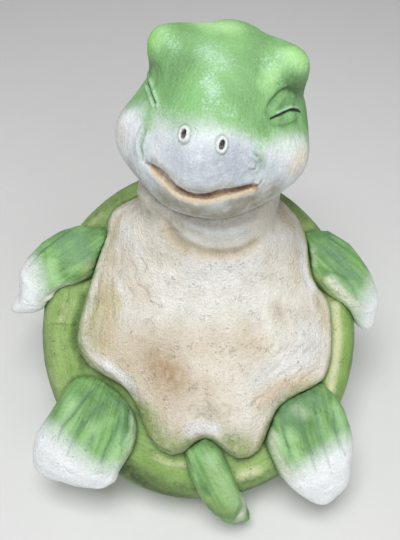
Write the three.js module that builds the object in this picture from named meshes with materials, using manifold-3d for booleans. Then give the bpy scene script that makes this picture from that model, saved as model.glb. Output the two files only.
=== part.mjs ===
// Turtle garden figurine: a smiling turtle that lies back on its shell with its belly to the sky.
// It is cast in pieces that are glued together over dowels: a hollow shell, the belly with the neck,
// the head, four legs and the tail. A rubber stopper closes the drain hole in the flat base.
//
// Millimetres, +Z up, the belly towards -Y. The figure stands on Z = 0, centred on the origin.
// The pieces are modelled in the body frame: x to the viewer's right, y from tail to head and
// z out of the belly, with its origin at the centre of the rim. Left and right are the viewer's.

import * as THREE from "three";
import { mergeVertices } from "three/addons/utils/BufferGeometryUtils.js";
import Module from "manifold-3d";

const wasm = await Module();
wasm.setup();

const degrees = THREE.MathUtils.degToRad;

// Posture
const RECLINE = degrees(30); // slope of the rim's plane, from tail up to head
const RIM_HEIGHT = 122; // centre of the rim above the ground

// Shell
const SHELL_WIDTH = 280; // at its widest, under the rim
const SHELL_LENGTH = 296;
const SHELL_WALL = 7;
const DOME_FULLNESS = 0.42; // how far the dome swells between base and rim
const BASE_WIDTH = 150; // flat underside
const BASE_LENGTH = 160;
const BASE_SETBACK = 28; // base centre behind the rim's centre
const RIM_DEPTH = 26; // from the rim's crest down to the shell's widest line
const RIM_CREST = 18; // from the shell's outside in to the crest
const RIM_WIDTH = 32; // from the shell's outside in to the ledge
const LEDGE_DEPTH = 7; // ledge that carries the belly, below the crest
const LEDGE_WIDTH = 40;

// Belly
const BELLY_SHIFT = 5; // belly's centre to the right of the rim's centre
const BELLY_MARGIN = 28; // from the shell's outside to the belly's edge
const BELLY_EDGE = 10; // height of the belly's edge above the ledge
const BELLY_CROWN = 30; // rise of the belly's middle above its edge
const BELLY_WALL = 8;
const CHEST_RISE = 50; // extra rise towards the neck
const CHEST_REACH = 66; // along the belly
const CHEST_SPREAD = 98; // to the sides
const CHEST_PLACE = 104; // from the rim's centre towards the head
const COLLAR_RISE = 13; // soft slope that leads up to the neck
const COLLAR_REACH = 36; // from the neck's side
// Bays in the belly's edge where the legs and tail come out, and bulges at the neck and shoulders
const BELLY_BAYS = [
  { bearing: degrees(163), half: degrees(36), depth: 8 },
  { bearing: degrees(22), half: degrees(18), depth: 10 },
  { bearing: degrees(3), half: degrees(30), depth: 3 },
  { bearing: degrees(221), half: degrees(35), depth: 31 },
  { bearing: degrees(315), half: degrees(28), depth: 23 },
  { bearing: degrees(271), half: degrees(16), depth: 18 },
  { bearing: degrees(264), half: degrees(40), depth: 8 },
  { bearing: degrees(90), half: degrees(60), depth: -8 },
  { bearing: degrees(55), half: degrees(22), depth: -8 },
  { bearing: degrees(127), half: degrees(16), depth: -8 },
  { bearing: degrees(133), half: degrees(7), depth: -5 },
];

// Neck, an egg shape that rises out of the chest
const NECK_WIDTH = 118;
const NECK_LENGTH = 104;
const NECK_DEPTH = 94;
const NECK_PLACE = new THREE.Vector3(9, 107, 50);

// Head
const HEAD_WIDTH = 124; // egg shape before modelling
const HEAD_HEIGHT = 136;
const HEAD_DEPTH = 112;
const HEAD_PLACE = new THREE.Vector3(16, 150, 84);
const HEAD_NOD = degrees(20); // chin towards the belly
const HEAD_TURN = degrees(-9); // nose towards the viewer's left
const HEAD_LEAN = degrees(-11); // crown towards the viewer's right
// Modelling strokes on the head: place, reach and push in the head's own frame, x right, y up
// and z out of the face. A stroke with a twin is repeated on the other side.
const HEAD_STROKES = [
  { at: [0, -28, 42], reach: 58, push: [0, -2, 18] }, // muzzle
  { at: [52, -22, 14], reach: 50, push: [15, -3, 5], twin: true }, // cheek
  { at: [-60, -34, 12], reach: 42, push: [-3, -2, 2] }, // fuller cheek on the left
  { at: [42, 44, 20], reach: 34, push: [14, 9, 6], twin: true }, // brow
  { at: [57, 14, 26], reach: 24, push: [-8, 0, -3], twin: true }, // eye hollow
  { at: [57, 13, 27], reach: 13, push: [5, 0, 3], twin: true }, // closed lid
  { at: [0, -60, 30], reach: 46, push: [0, -9, 8] }, // chin
  { at: [26, -54, 26], reach: 38, push: [7, -4, 5], twin: true }, // jaw
  { at: [0, 66, -4], reach: 46, push: [0, 5, 0] }, // crown
  { at: [48, 14, -28], reach: 42, push: [9, 2, -8], twin: true }, // temple
];
// Lines cut in the face: turn from the nose and height, outer end last
const MOUTH_LINE = [
  [0, -55],
  [17, -52],
  [31, -45],
  [43, -38],
];
const MOUTH_WIDTH = 6;
const LID_LINE = [
  [48, 9],
  [60, 10],
  [72, 13],
  [82, 18],
];
const LID_WIDTH = 2.4;
const NOSTRIL_PLACE = [11.5, -17];
const NOSTRIL_WIDTH = 4;
const NOSTRIL_HEIGHT = 7;

// Legs and tail follow a line over the rim: bearing, distance beyond the shell's outside and
// height above the crest. Width is that of the middle, and tip is the share of it near the end.
// The peg is where a dowel joins the limb to the rim: bearing and distance inside the outside.
// Strokes model the tip: place, reach and push across the limb, past its end and out of it.
const LIMBS = {
  left_foreleg: {
    line: [
      [140, -48, -12],
      [148, -25, -3],
      [158, -6, -3],
      [168, 7, -9],
      [175, 21, -23],
    ],
    width: 52,
    thickness: 32,
    tip: 0.7,
    peg: [151, 20],
    strokes: [
      { at: [4, -1, 0], reach: 15, push: [-7, 5, 3] }, // toe
      { at: [-12, -14, 6], reach: 15, push: [4, -4, -2] }, // dent beside the toe
    ],
  },
  right_foreleg: {
    line: [
      [37, -40, -12],
      [28, -18, -3],
      [17, -7, -3],
      [8, 3, -9],
      [1, 10, -22],
    ],
    width: 50,
    thickness: 32,
    tip: 0.66,
    peg: [27, 19],
    strokes: [{ at: [0, 0, 2], reach: 15, push: [-1, 5, 2] }], // pointed toe
  },
  left_hind_leg: {
    line: [
      [217, -50, -14],
      [219, -35, -2],
      [222, -14, 2],
      [225, 13, -6],
      [226, 26, -18],
    ],
    width: 84,
    thickness: 38,
    tip: 0.95,
    peg: [222, 24],
    strokes: [
      { at: [-16, -3, 8], reach: 24, push: [-3, 6, 4] }, // square outer corner
      { at: [-40, -48, -8], reach: 40, push: [8, -1, -1] }, // drawn-in outer side
      { at: [22, -8, 8], reach: 16, push: [1, -2, -1] }, // flat end
      { at: [36, -20, 0], reach: 18, push: [5, -3, 0] }, // inner corner
    ],
  },
  right_hind_leg: {
    line: [
      [327, -52, -14],
      [321, -32, -2],
      [315, -8, 2],
      [312, 16, -6],
      [310, 38, -20],
    ],
    width: 76,
    thickness: 38,
    tip: 0.78,
    peg: [317, 22],
    strokes: [
      { at: [-12, -3, 6], reach: 18, push: [-1, 4, 2] }, // pointed end
      { at: [30, -20, 4], reach: 26, push: [-5, -2, 0] }, // drawn-in outer side
    ],
  },
  tail: {
    line: [
      [270, -62, -12],
      [272, -42, -2],
      [276, -18, 0],
      [280, 4, -14],
      [283, 22, -32],
    ],
    width: 34,
    thickness: 30,
    tip: 0.84,
    peg: [275, 21],
    strokes: [
      { at: [6, -8, 6], reach: 11, push: [1, 4, 2] }, // knob at the end
      { at: [-3, -6, 6], reach: 8, push: [0, -3, -1] }, // notch beside it
    ],
  },
};
const LIMB_ROUNDNESS = 2.6; // 2 is an ellipse, more is blunter

// Dowels and glue
const GLUE_GAP = 0.3; // between two pieces that are glued
const LIMB_DOWEL_DIAMETER = 9;
const LIMB_DOWEL_LENGTH = 32;
const LIMB_DOWEL_RISE = 6; // top of the dowel above the crest
const NECK_DOWEL_DIAMETER = 20;
const NECK_DOWEL_LENGTH = 56;
const NECK_DOWEL_DEPTH = 36; // foot of the dowel below the neck's middle
const DOWEL_SIDES = 16;

// Drain hole and stopper
const DRAIN_DIAMETER = 18;
const STOPPER_HEAD = 28;
const STOPPER_HEAD_HEIGHT = 2.5;
const STOPPER_RECESS = 3.2; // depth of the stopper's seat in the base
const STOPPER_BEAD = 2; // bead that snaps in behind the wall
const STOPPER_TAIL = 6;

// Fineness of the meshes
const SHELL_SIDES = 56;
const BELLY_SIDES = 72;
const HEAD_DETAIL = 10;
const NECK_DETAIL = 6;
const LIMB_SIDES = 18;
const LIMB_STEPS = 12;

// Paint colours
const PAINT = {
  leaf: new THREE.MeshStandardMaterial({ color: 0x7fae4e, roughness: 0.6, metalness: 0 }),
  limb: new THREE.MeshStandardMaterial({ color: 0x6ba54c, roughness: 0.6, metalness: 0 }),
  bone: new THREE.MeshStandardMaterial({ color: 0xd9ccb0, roughness: 0.7, metalness: 0 }),
  face: new THREE.MeshStandardMaterial({ color: 0x86b56a, roughness: 0.6, metalness: 0 }),
  wood: new THREE.MeshStandardMaterial({ color: 0xc2a070, roughness: 0.8, metalness: 0 }),
  rubber: new THREE.MeshStandardMaterial({ color: 0x2a2a2a, roughness: 0.9, metalness: 0 }),
};

// Frames

const bodyFrame = new THREE.Matrix4().makeRotationX(RECLINE).setPosition(0, 0, RIM_HEIGHT);
const groundFrame = bodyFrame.clone().invert();

// A point given over the ground, seen from the body frame.
function overGround(x, y, z) {
  return new THREE.Vector3(x, y, z).applyMatrix4(groundFrame);
}

// A point at a bearing on the shell's outline, moved outwards and raised above the crest.
function overRim(bearing, outwards, height) {
  const x = (SHELL_WIDTH / 2 + outwards) * Math.cos(bearing);
  const y = (SHELL_LENGTH / 2 + outwards) * Math.sin(bearing);
  return new THREE.Vector3(x, y, height);
}

// Mesh tools

// A skin over rings with equal numbers of points. Its ends are closed by fans, or joined to each other.
function skin(rings, joined = false) {
  const sides = rings[0].length;
  const points = rings.flat();
  const faces = [];
  const spans = joined ? rings.length : rings.length - 1;
  for (let i = 0; i < spans; i++) {
    const low = i * sides;
    const high = ((i + 1) % rings.length) * sides;
    for (let k = 0; k < sides; k++) {
      const next = (k + 1) % sides;
      faces.push(low + k, low + next, high + next, low + k, high + next, high + k);
    }
  }
  if (!joined) {
    const first = points.push(middle(rings[0])) - 1;
    const last = points.push(middle(rings.at(-1))) - 1;
    const top = (rings.length - 1) * sides;
    for (let k = 0; k < sides; k++) {
      const next = (k + 1) % sides;
      faces.push(first, next, k, last, top + k, top + next);
    }
  }
  return new THREE.BufferGeometry().setFromPoints(points).setIndex(faces);
}

function middle(points) {
  return points.reduce((sum, p) => sum.add(p), new THREE.Vector3()).divideScalar(points.length);
}

// A ring of points, one for each bearing.
function ring(sides, pointAt) {
  return Array.from({ length: sides }, (_, k) => pointAt((2 * Math.PI * k) / sides));
}

function bare(geometry) {
  const copy = geometry.clone();
  copy.deleteAttribute("normal");
  copy.deleteAttribute("uv");
  return mergeVertices(copy, 1e-4);
}

function solid(geometry) {
  const merged = bare(geometry);
  return new wasm.Manifold(
    new wasm.Mesh({
      numProp: 3,
      vertProperties: new Float32Array(merged.attributes.position.array),
      triVerts: new Uint32Array(merged.index.array),
    }),
  );
}

function geometryOf(body) {
  const { vertProperties, triVerts } = body.getMesh();
  return new THREE.BufferGeometry()
    .setAttribute("position", new THREE.BufferAttribute(vertProperties, 3))
    .setIndex(new THREE.BufferAttribute(triVerts, 1));
}

// The same geometry grown outwards all over, to cut a neighbour with a glue gap.
function grown(geometry) {
  const copy = bare(geometry);
  copy.computeVertexNormals();
  const { position, normal } = copy.attributes;
  for (let i = 0; i < position.count; i++) {
    const p = new THREE.Vector3().fromBufferAttribute(position, i);
    p.addScaledVector(new THREE.Vector3().fromBufferAttribute(normal, i), GLUE_GAP);
    position.setXYZ(i, p.x, p.y, p.z);
  }
  return copy;
}

// Pushes the surface near each stroke's place, fading out smoothly at its reach.
function modelled(geometry, strokes) {
  const { position } = geometry.attributes;
  for (let i = 0; i < position.count; i++) {
    const start = new THREE.Vector3().fromBufferAttribute(position, i);
    const end = start.clone();
    for (const { at, reach, push } of strokes) {
      const away = start.distanceTo(at) / reach;
      if (away < 1) end.addScaledVector(push, (1 - away * away) ** 2);
    }
    position.setXYZ(i, end.x, end.y, end.z);
  }
  return geometry;
}

// Strokes given in a frame, as places and pushes in the body frame.
function placed(strokes, frame) {
  const turn = new THREE.Matrix3().setFromMatrix4(frame);
  return strokes.map(({ at, push, reach }) => ({
    at: new THREE.Vector3(...at).applyMatrix4(frame),
    push: new THREE.Vector3(...push).applyMatrix3(turn),
    reach,
  }));
}

function egg(width, height, depth, detail) {
  return bare(new THREE.IcosahedronGeometry(0.5, detail)).scale(width, height, depth);
}

// A round bar whose axis runs from one point to another.
function bar(from, to, diameter) {
  const length = from.distanceTo(to);
  const along = to.clone().sub(from).normalize();
  const turn = new THREE.Quaternion().setFromUnitVectors(new THREE.Vector3(0, 1, 0), along);
  return new THREE.CylinderGeometry(diameter / 2, diameter / 2, length, DOWEL_SIDES)
    .applyQuaternion(turn)
    .translate(...from.clone().lerp(to, 0.5).toArray());
}

// A bar along a line of points that thins out to a quarter at both ends.
function taperedBar(points, diameter, steps) {
  const curve = new THREE.CatmullRomCurve3(points);
  const frames = curve.computeFrenetFrames(steps);
  const rings = Array.from({ length: steps + 1 }, (_, i) => {
    const fill = 0.25 + 0.75 * Math.sqrt(Math.max(0, 1 - (2 * (i / steps) - 1) ** 2));
    const centre = curve.getPointAt(i / steps);
    return ring(7, (turn) =>
      centre
        .clone()
        .addScaledVector(frames.normals[i], (diameter / 2) * fill * Math.cos(turn))
        .addScaledVector(frames.binormals[i], (diameter / 2) * fill * Math.sin(turn)),
    );
  });
  return skin(rings);
}

// Shell

// The dome's curve at one bearing, from the edge of the flat base up to the shell's widest line.
function domeCurve(bearing, inset) {
  const [cos, sin] = [Math.cos(bearing), Math.sin(bearing)];
  const base = overGround(
    (BASE_WIDTH / 2 - inset) * cos,
    BASE_SETBACK + (BASE_LENGTH / 2 - inset) * sin,
    inset,
  );
  const widest = overRim(bearing, -inset, -RIM_DEPTH);
  const swell = DOME_FULLNESS * base.distanceTo(widest);
  const outwards = overGround(cos, sin, 0).sub(overGround(0, 0, 0)).normalize();
  return new THREE.CubicBezierCurve3(
    base,
    base.clone().addScaledVector(outwards, swell),
    widest.clone().add(new THREE.Vector3(0, 0, -swell)),
    widest,
  );
}

function domeRings(inset, steps) {
  return Array.from({ length: steps + 1 }, (_, i) =>
    ring(SHELL_SIDES, (bearing) => domeCurve(bearing, inset).getPoint(i / steps)),
  );
}

function rimRing(inwards, depth) {
  return ring(SHELL_SIDES, (bearing) => overRim(bearing, -inwards, -depth));
}

// Rings over the rounded rim, from above the widest line over the crest and down to the ledge.
function rimRings() {
  const rise = [0.3, 0.6, 0.85, 1].map((share) => {
    const turn = (share * Math.PI) / 2;
    return rimRing(RIM_CREST * (1 - Math.cos(turn)), RIM_DEPTH * (1 - Math.sin(turn)));
  });
  const fall = [0.35, 0.7, 1].map((share) => {
    const inwards = RIM_CREST + (RIM_WIDTH - RIM_CREST) * share;
    return rimRing(inwards, LEDGE_DEPTH * Math.sin((share * Math.PI) / 2) ** 2);
  });
  return [...rise, ...fall];
}

// A ring round the drain hole, at a height over the ground.
function drainRing(diameter, height) {
  return ring(SHELL_SIDES, (bearing) =>
    overGround(
      (diameter / 2) * Math.cos(bearing),
      BASE_SETBACK + (diameter / 2) * Math.sin(bearing),
      height,
    ),
  );
}

// The shell's outside as one full body, which cuts what is glued to it.
function shellBlank() {
  return skin([...domeRings(0, 8), ...rimRings(), rimRing(RIM_WIDTH + LEDGE_WIDTH, LEDGE_DEPTH)]);
}

function carapace() {
  const seat = STOPPER_HEAD + 2 * GLUE_GAP;
  const hole = DRAIN_DIAMETER + 2 * GLUE_GAP;
  const underside = LEDGE_DEPTH + SHELL_WALL;
  const opening = RIM_WIDTH + LEDGE_WIDTH;
  const rings = [
    drainRing(hole, SHELL_WALL + STOPPER_RECESS),
    drainRing(hole, STOPPER_RECESS),
    drainRing(seat, STOPPER_RECESS),
    drainRing(seat, 0),
    ...domeRings(0, 8),
    ...rimRings(),
    rimRing(opening, LEDGE_DEPTH),
    rimRing(opening, underside),
    rimRing(RIM_CREST, underside),
    ...domeRings(SHELL_WALL, 5).reverse(),
    drainRing(seat + 2 * SHELL_WALL, SHELL_WALL),
    drainRing(seat, SHELL_WALL + STOPPER_RECESS),
  ];
  return skin(rings, true);
}

// Belly and neck

// A point over the belly at a share of its reach. Towards the middle the bays fade out.
function overBelly(bearing, share, height, loose = 0) {
  const bays = BELLY_BAYS.reduce((sum, bay) => {
    const turn = Math.atan2(Math.sin(bearing - bay.bearing), Math.cos(bearing - bay.bearing));
    const away = Math.min(Math.abs(turn) / bay.half, 1);
    return sum + bay.depth * Math.cos((away * Math.PI) / 2) ** 2;
  }, 0);
  const edge = overRim(bearing, loose - BELLY_MARGIN - bays * share ** 2, 0).multiplyScalar(share);
  return new THREE.Vector3(edge.x + BELLY_SHIFT, edge.y, height);
}

function bellyHeight({ x, y }, share) {
  const away = Math.hypot((x - NECK_PLACE.x) / CHEST_SPREAD, (y - CHEST_PLACE) / CHEST_REACH);
  const crown = BELLY_CROWN + CHEST_RISE * Math.exp(-away * away);
  const besideNeck = Math.max(0, neckDistance(x, y)) / COLLAR_REACH;
  const collar = COLLAR_RISE * Math.max(0, 1 - besideNeck) ** 2;
  const rise = crown * Math.max(0, 1 - share ** 2.5) ** 0.75;
  return BELLY_EDGE - LEDGE_DEPTH + rise + collar * Math.max(0, 1 - share ** 6) ** 0.75;
}

// How far a place on the belly lies from the neck's side, in plan.
function neckDistance(x, y) {
  const out = Math.hypot((x - NECK_PLACE.x) / NECK_WIDTH, (y - NECK_PLACE.y) / NECK_LENGTH);
  return ((2 * out - 1) * (NECK_WIDTH + NECK_LENGTH)) / 4;
}

function bellyRing(share, lowered) {
  return ring(BELLY_SIDES, (bearing) => {
    const place = overBelly(bearing, share, 0);
    return place.setZ(bellyHeight(place, share) - lowered);
  });
}

function bellyPlate() {
  const foot = GLUE_GAP - LEDGE_DEPTH;
  const footRings = [0.86, 1].map((share) =>
    ring(BELLY_SIDES, (bearing) => overBelly(bearing, share, foot)),
  );
  const inside = [0.15, 0.4, 0.6, 0.78].map((share) => bellyRing(share, BELLY_WALL));
  const outside = [1, 0.98, 0.94, 0.88, 0.81, 0.73, 0.64, 0.54, 0.42, 0.25, 0.1];
  const outer = outside.map((share) => bellyRing(share, 0));
  return skin([...inside, ...footRings, ...outer]);
}

// A block as wide as the belly, which keeps the legs and tail outside its edge.
function bellyBlock() {
  const levels = [-RIM_DEPTH - SHELL_WALL, BELLY_CROWN + CHEST_RISE];
  return skin(
    levels.map((level) => ring(BELLY_SIDES, (bearing) => overBelly(bearing, 1, level, GLUE_GAP))),
  );
}

function neckEgg() {
  return egg(NECK_WIDTH, NECK_LENGTH, NECK_DEPTH, NECK_DETAIL).translate(...NECK_PLACE.toArray());
}

// Head

const headTurn = new THREE.Quaternion().setFromEuler(
  new THREE.Euler(HEAD_NOD, HEAD_TURN, HEAD_LEAN, "XYZ"),
);

function onNeck(geometry) {
  return geometry.applyQuaternion(headTurn).translate(...HEAD_PLACE.toArray());
}

function otherSide([x, y, z]) {
  return [-x, y, z];
}

function headForm() {
  const strokes = HEAD_STROKES.flatMap((stroke) => {
    const { at, push, reach, twin } = stroke;
    return twin ? [stroke, { at: otherSide(at), push: otherSide(push), reach }] : [stroke];
  });
  const blank = egg(HEAD_WIDTH, HEAD_HEIGHT, HEAD_DEPTH, HEAD_DETAIL);
  return modelled(blank, placed(strokes, new THREE.Matrix4()));
}

// The point of the head's surface at a turn from the nose and a height.
function onFace([turn, height]) {
  const out = new THREE.Vector3(Math.sin(degrees(turn)), 0, Math.cos(degrees(turn)));
  const axis = new THREE.Vector3(0, height, 0);
  const start = axis.clone().addScaledVector(out, 2 * HEAD_WIDTH);
  const caster = new THREE.Raycaster(start, out.clone().negate());
  return caster.intersectObject(new THREE.Mesh(headForm()))[0].point;
}

function acrossFace([turn, height]) {
  return [-turn, height];
}

// Everything that is cut into the face: mouth, the slits of the closed eyes and the nostrils.
function faceCuts() {
  const farMouth = MOUTH_LINE.slice(1).map(acrossFace).reverse();
  const mouth = [...farMouth, ...MOUTH_LINE].map(onFace);
  const lids = [LID_LINE, LID_LINE.map(acrossFace)];
  const nostrils = [NOSTRIL_PLACE, acrossFace(NOSTRIL_PLACE)];
  return [
    taperedBar(mouth, MOUTH_WIDTH, 20),
    ...lids.map((line) => taperedBar(line.map(onFace), LID_WIDTH, 8)),
    ...nostrils.map((place) =>
      egg(NOSTRIL_WIDTH, NOSTRIL_HEIGHT, NOSTRIL_HEIGHT, 2).translate(...onFace(place).toArray()),
    ),
  ];
}

// Legs and tail

// A rounded paddle along a line, wide across and thinner out of the belly.
function limbForm({ line, width, thickness, tip, strokes }) {
  const curve = new THREE.CatmullRomCurve3(
    line.map(([bearing, outwards, height]) => overRim(degrees(bearing), outwards, height)),
  );
  const rings = Array.from({ length: LIMB_STEPS + 1 }, (_, i) => {
    const share = 0.5 - 0.5 * Math.cos((Math.PI * (i + 0.35)) / (LIMB_STEPS + 0.7));
    const round = (1 - Math.abs(2 * share - 1) ** LIMB_ROUNDNESS) ** (1 / LIMB_ROUNDNESS);
    const fill = (round * (1 - (1 - tip) * share ** 2)) / 2;
    const frame = limbFrame(curve, share);
    return ring(LIMB_SIDES, (turn) =>
      new THREE.Vector3(
        width * fill * Math.cos(turn),
        0,
        thickness * fill * Math.sin(turn),
      ).applyMatrix4(frame),
    );
  });
  return modelled(skin(rings), placed(strokes, limbFrame(curve, 1)));
}

// Frame at a share of a limb's line: x across it, y along it and z through it, out of the belly.
function limbFrame(curve, share) {
  const along = curve.getTangentAt(share);
  const across = new THREE.Vector3(0, 0, 1).cross(along).normalize();
  const through = new THREE.Vector3().crossVectors(along, across);
  const frame = new THREE.Matrix4().makeBasis(across, along, through);
  return frame.setPosition(curve.getPointAt(share));
}

// A dowel stands square on the rim, from inside the shell up into a leg or the tail.
function limbDowel({ peg: [bearing, inset] }, loose = 0) {
  const top = overRim(degrees(bearing), -inset, LIMB_DOWEL_RISE + loose);
  const low = overRim(degrees(bearing), -inset, LIMB_DOWEL_RISE - LIMB_DOWEL_LENGTH - loose);
  return bar(low, top, LIMB_DOWEL_DIAMETER + 2 * loose);
}

// The neck's dowel points from the neck into the head.
function neckDowel(loose = 0) {
  const along = HEAD_PLACE.clone().sub(NECK_PLACE).normalize();
  const low = NECK_PLACE.clone().addScaledVector(along, -NECK_DOWEL_DEPTH - loose);
  const top = low.clone().addScaledVector(along, NECK_DOWEL_LENGTH + 2 * loose);
  return bar(low, top, NECK_DOWEL_DIAMETER + 2 * loose);
}

// The stopper is turned about the axis of the drain hole.
function drainStopper() {
  const stem = DRAIN_DIAMETER / 2;
  const shoulder = STOPPER_RECESS - GLUE_GAP;
  const wallTop = SHELL_WALL + STOPPER_RECESS + GLUE_GAP;
  const profile = [
    [0, shoulder - STOPPER_HEAD_HEIGHT],
    [STOPPER_HEAD / 2, shoulder - STOPPER_HEAD_HEIGHT],
    [STOPPER_HEAD / 2, shoulder],
    [stem, shoulder],
    [stem, wallTop],
    [stem + STOPPER_BEAD, wallTop + STOPPER_BEAD / 2],
    [stem, wallTop + STOPPER_TAIL],
    [0, wallTop + STOPPER_TAIL],
  ].map(([radius, height]) => new THREE.Vector2(radius, height));
  return new THREE.LatheGeometry(profile, 32).rotateX(Math.PI / 2);
}

// Assembly

function piece(name, geometry, paint) {
  const mesh = new THREE.Mesh(geometry, paint);
  mesh.name = name;
  return mesh;
}

const reclined = new THREE.Group();
reclined.applyMatrix4(bodyFrame);

const shellCutter = solid(grown(shellBlank()));
const bellyCutter = solid(bellyBlock());
let shell = solid(carapace());
for (const [name, limb] of Object.entries(LIMBS)) {
  const hole = solid(limbDowel(limb, GLUE_GAP));
  const body = solid(limbForm(limb)).subtract(shellCutter).subtract(bellyCutter).subtract(hole);
  shell = shell.subtract(hole);
  reclined.add(piece(name, geometryOf(body), PAINT.limb));
  reclined.add(piece(`${name}_dowel`, limbDowel(limb), PAINT.wood));
}
reclined.add(piece("carapace", geometryOf(shell), PAINT.leaf));

const neckHole = solid(neckDowel(GLUE_GAP));
const headCutter = solid(onNeck(grown(headForm())));
const belly = solid(bellyPlate())
  .add(solid(neckEgg()))
  .subtract(shellCutter)
  .subtract(headCutter)
  .subtract(neckHole);
reclined.add(piece("plastron", geometryOf(belly), PAINT.bone));

const head = faceCuts()
  .map((cut) => solid(onNeck(cut)))
  .reduce((body, cut) => body.subtract(cut), solid(onNeck(headForm())))
  .subtract(neckHole);
reclined.add(piece("head", geometryOf(head), PAINT.face));
reclined.add(piece("neck_dowel", neckDowel(), PAINT.wood));

const stopper = piece("drain_stopper", drainStopper(), PAINT.rubber);
stopper.position.set(0, BASE_SETBACK, 0);

// The figure stands centred over the origin.
const standing = new THREE.Group();
standing.add(reclined, stopper);
const centre = new THREE.Box3().setFromObject(standing, true).getCenter(new THREE.Vector3());
standing.position.set(-centre.x, -centre.y, 0);

const turtle = new THREE.Group();
turtle.add(standing);

export default turtle;
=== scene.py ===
"""Looks of a painted garden figurine: a smiling turtle that lies back on its shell.

Each casting starts as a copy of its solid. It is rubbed smooth on a fine mesh, gets its lines and
folds from modelling strokes, and is then sprayed coat by coat. A stroke is a line of picture
points, and it lies on the surface that the camera sees there.
"""

import math

import bmesh
import bpy
import numpy as np
from mathutils import Matrix, Vector
from mathutils.bvhtree import BVHTree


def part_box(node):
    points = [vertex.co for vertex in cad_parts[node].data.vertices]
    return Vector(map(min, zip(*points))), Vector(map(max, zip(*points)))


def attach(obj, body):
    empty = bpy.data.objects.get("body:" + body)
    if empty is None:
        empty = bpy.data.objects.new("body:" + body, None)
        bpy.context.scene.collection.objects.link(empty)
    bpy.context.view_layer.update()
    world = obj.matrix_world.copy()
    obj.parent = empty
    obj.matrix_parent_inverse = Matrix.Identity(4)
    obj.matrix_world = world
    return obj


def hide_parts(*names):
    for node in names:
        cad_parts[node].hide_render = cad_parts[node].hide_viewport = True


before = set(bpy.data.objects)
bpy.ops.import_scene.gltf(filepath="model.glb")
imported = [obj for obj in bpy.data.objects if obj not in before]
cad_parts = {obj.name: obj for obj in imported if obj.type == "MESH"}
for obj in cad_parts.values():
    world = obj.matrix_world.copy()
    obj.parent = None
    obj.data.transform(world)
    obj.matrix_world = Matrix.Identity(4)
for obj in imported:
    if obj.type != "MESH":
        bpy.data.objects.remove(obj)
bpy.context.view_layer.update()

MM = 0.001

# Body frame of the figure, in millimetres: the rim's centre stands over the floor in front of the
# drain stopper, and the rim's plane slopes from the tail up to the head
RIM_HEIGHT = 122
BASE_SETBACK = 28
RECLINE = math.radians(30)
# Head frame inside the body frame
HEAD_PLACE = Vector((16, 150, 84))
HEAD_NOD = math.radians(20)
HEAD_TURN = math.radians(-9)
HEAD_LEAN = math.radians(-11)
# Neck inside the body frame: its middle, and its half width and half length
NECK_PLACE = Vector((9, 107, 50))
NECK_HALF = (59, 52)

stopper_low, stopper_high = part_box("drain_stopper")
stopper_middle = (stopper_low + stopper_high) / 2 / MM
rim_centre = Vector((stopper_middle.x, stopper_middle.y - BASE_SETBACK, RIM_HEIGHT))
body_frame = Matrix.Translation(rim_centre) @ Matrix.Rotation(RECLINE, 4, "X")
head_frame = (
    body_frame
    @ Matrix.Translation(HEAD_PLACE)
    @ Matrix.Rotation(HEAD_NOD, 4, "X")
    @ Matrix.Rotation(HEAD_TURN, 4, "Y")
    @ Matrix.Rotation(HEAD_LEAN, 4, "Z")
)

# Camera: it stands beyond the tail and looks down on the belly
CAMERA_FROM_RIM = Vector((1.3, -307, 438.1))
CAMERA_DIP = math.radians(50)
PICTURE_WIDTH = 400
PICTURE_HEIGHT = 540
FOCAL_LENGTH = 620  # in picture points
SENSOR = 36

camera_place = rim_centre + CAMERA_FROM_RIM
camera_ahead = Vector((0, math.cos(CAMERA_DIP), -math.sin(CAMERA_DIP)))
camera_above = Vector((0, math.sin(CAMERA_DIP), math.cos(CAMERA_DIP)))

# Paints, as sRGB
SPRING_GREEN = "b1e19c"
LEAF_GREEN = "86ba79"
LEG_GREEN = "8aba74"
LEG_SHADE = "74a65d"
LEG_SPRING = "a9d497"
# Painted shade on the legs where they meet the belly
LEG_MOSS_SHADE = "527a4e"
SHELL_GREEN = "95b66e"
SHELL_SHADE = "7f9f5c"
LIME = "b1ca80"
BROW_LIME = "9bd879"
SAP_GREEN = "83b050"
# Painted shade on the head: under the brows, in the eye creases and folds, round the nostrils
MOSS_SHADE = "527548"
# Painted shade in the toe valleys and on the leg tops
DUSK_SHADE_GREEN = "6c9471"
# Painted shadow where the legs and tail meet the belly and shell, and dark toe lines that are partly painted
# shade
DEEP_MOSS_SHADE = "3c5a3c"
# Painted shade on the shell in its grooves, at its foot and beside the belly and legs, and in the belly's
# joints
SHELL_MOSS_SHADE = "516e3c"
# Painted shadow on the shell's lower edge and beside the hind legs
DEEP_OLIVE_SHADE = "3d4d2c"
OLIVE = "9bb06b"
COOL_WHITE = "eaf1f2"
SHADE_WHITE = "cfd6dc"
TIP_WHITE = "f4f8fa"
RING_WHITE = "e6eae9"
# Painted sheen on the forehead and brows, and painted highlights on the lid edges
SHEEN_WHITE = "c4e6d4"
IVORY = "f2ede3"
IVORY_SHADE = "e6decd"
TAN = "cfbb93"
BROWN = "b0946c"
PEACH = "e6cda2"
STRAW = "d5caa6"
PALE_CREAM = "dfe2d0"
SHELL_CREAM = "d6d9ae"
# Painted shade on the muzzle, the sides of the cheeks and the lips
MUZZLE_SHADE_GREY = "adb6c1"
# Painted shade under the chin, on the lower cheeks and along the upper lip
JAW_SHADE_GREY = "938a71"
# Dust in the belly's cracks and scratches, and painted shadow under the chin and on the throat
NECK_DUST_AND_SHADE = "a9a594"
MOUTH_CLAY = "a88c70"
MOUTH_SHADOW = "6b4630"
LIP_CREAM = "d0c1a5"
INK = "161d19"
PIT_GREY = "574d44"
BEECH = "d9b98c"
BEECH_FLECK = "b58a5c"
RUBBER = "2a2b2a"
RUBBER_DUST = "45463f"
PAPER = "dedfdf"
PAPER_FIBRE = "e3e3e2"

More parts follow.
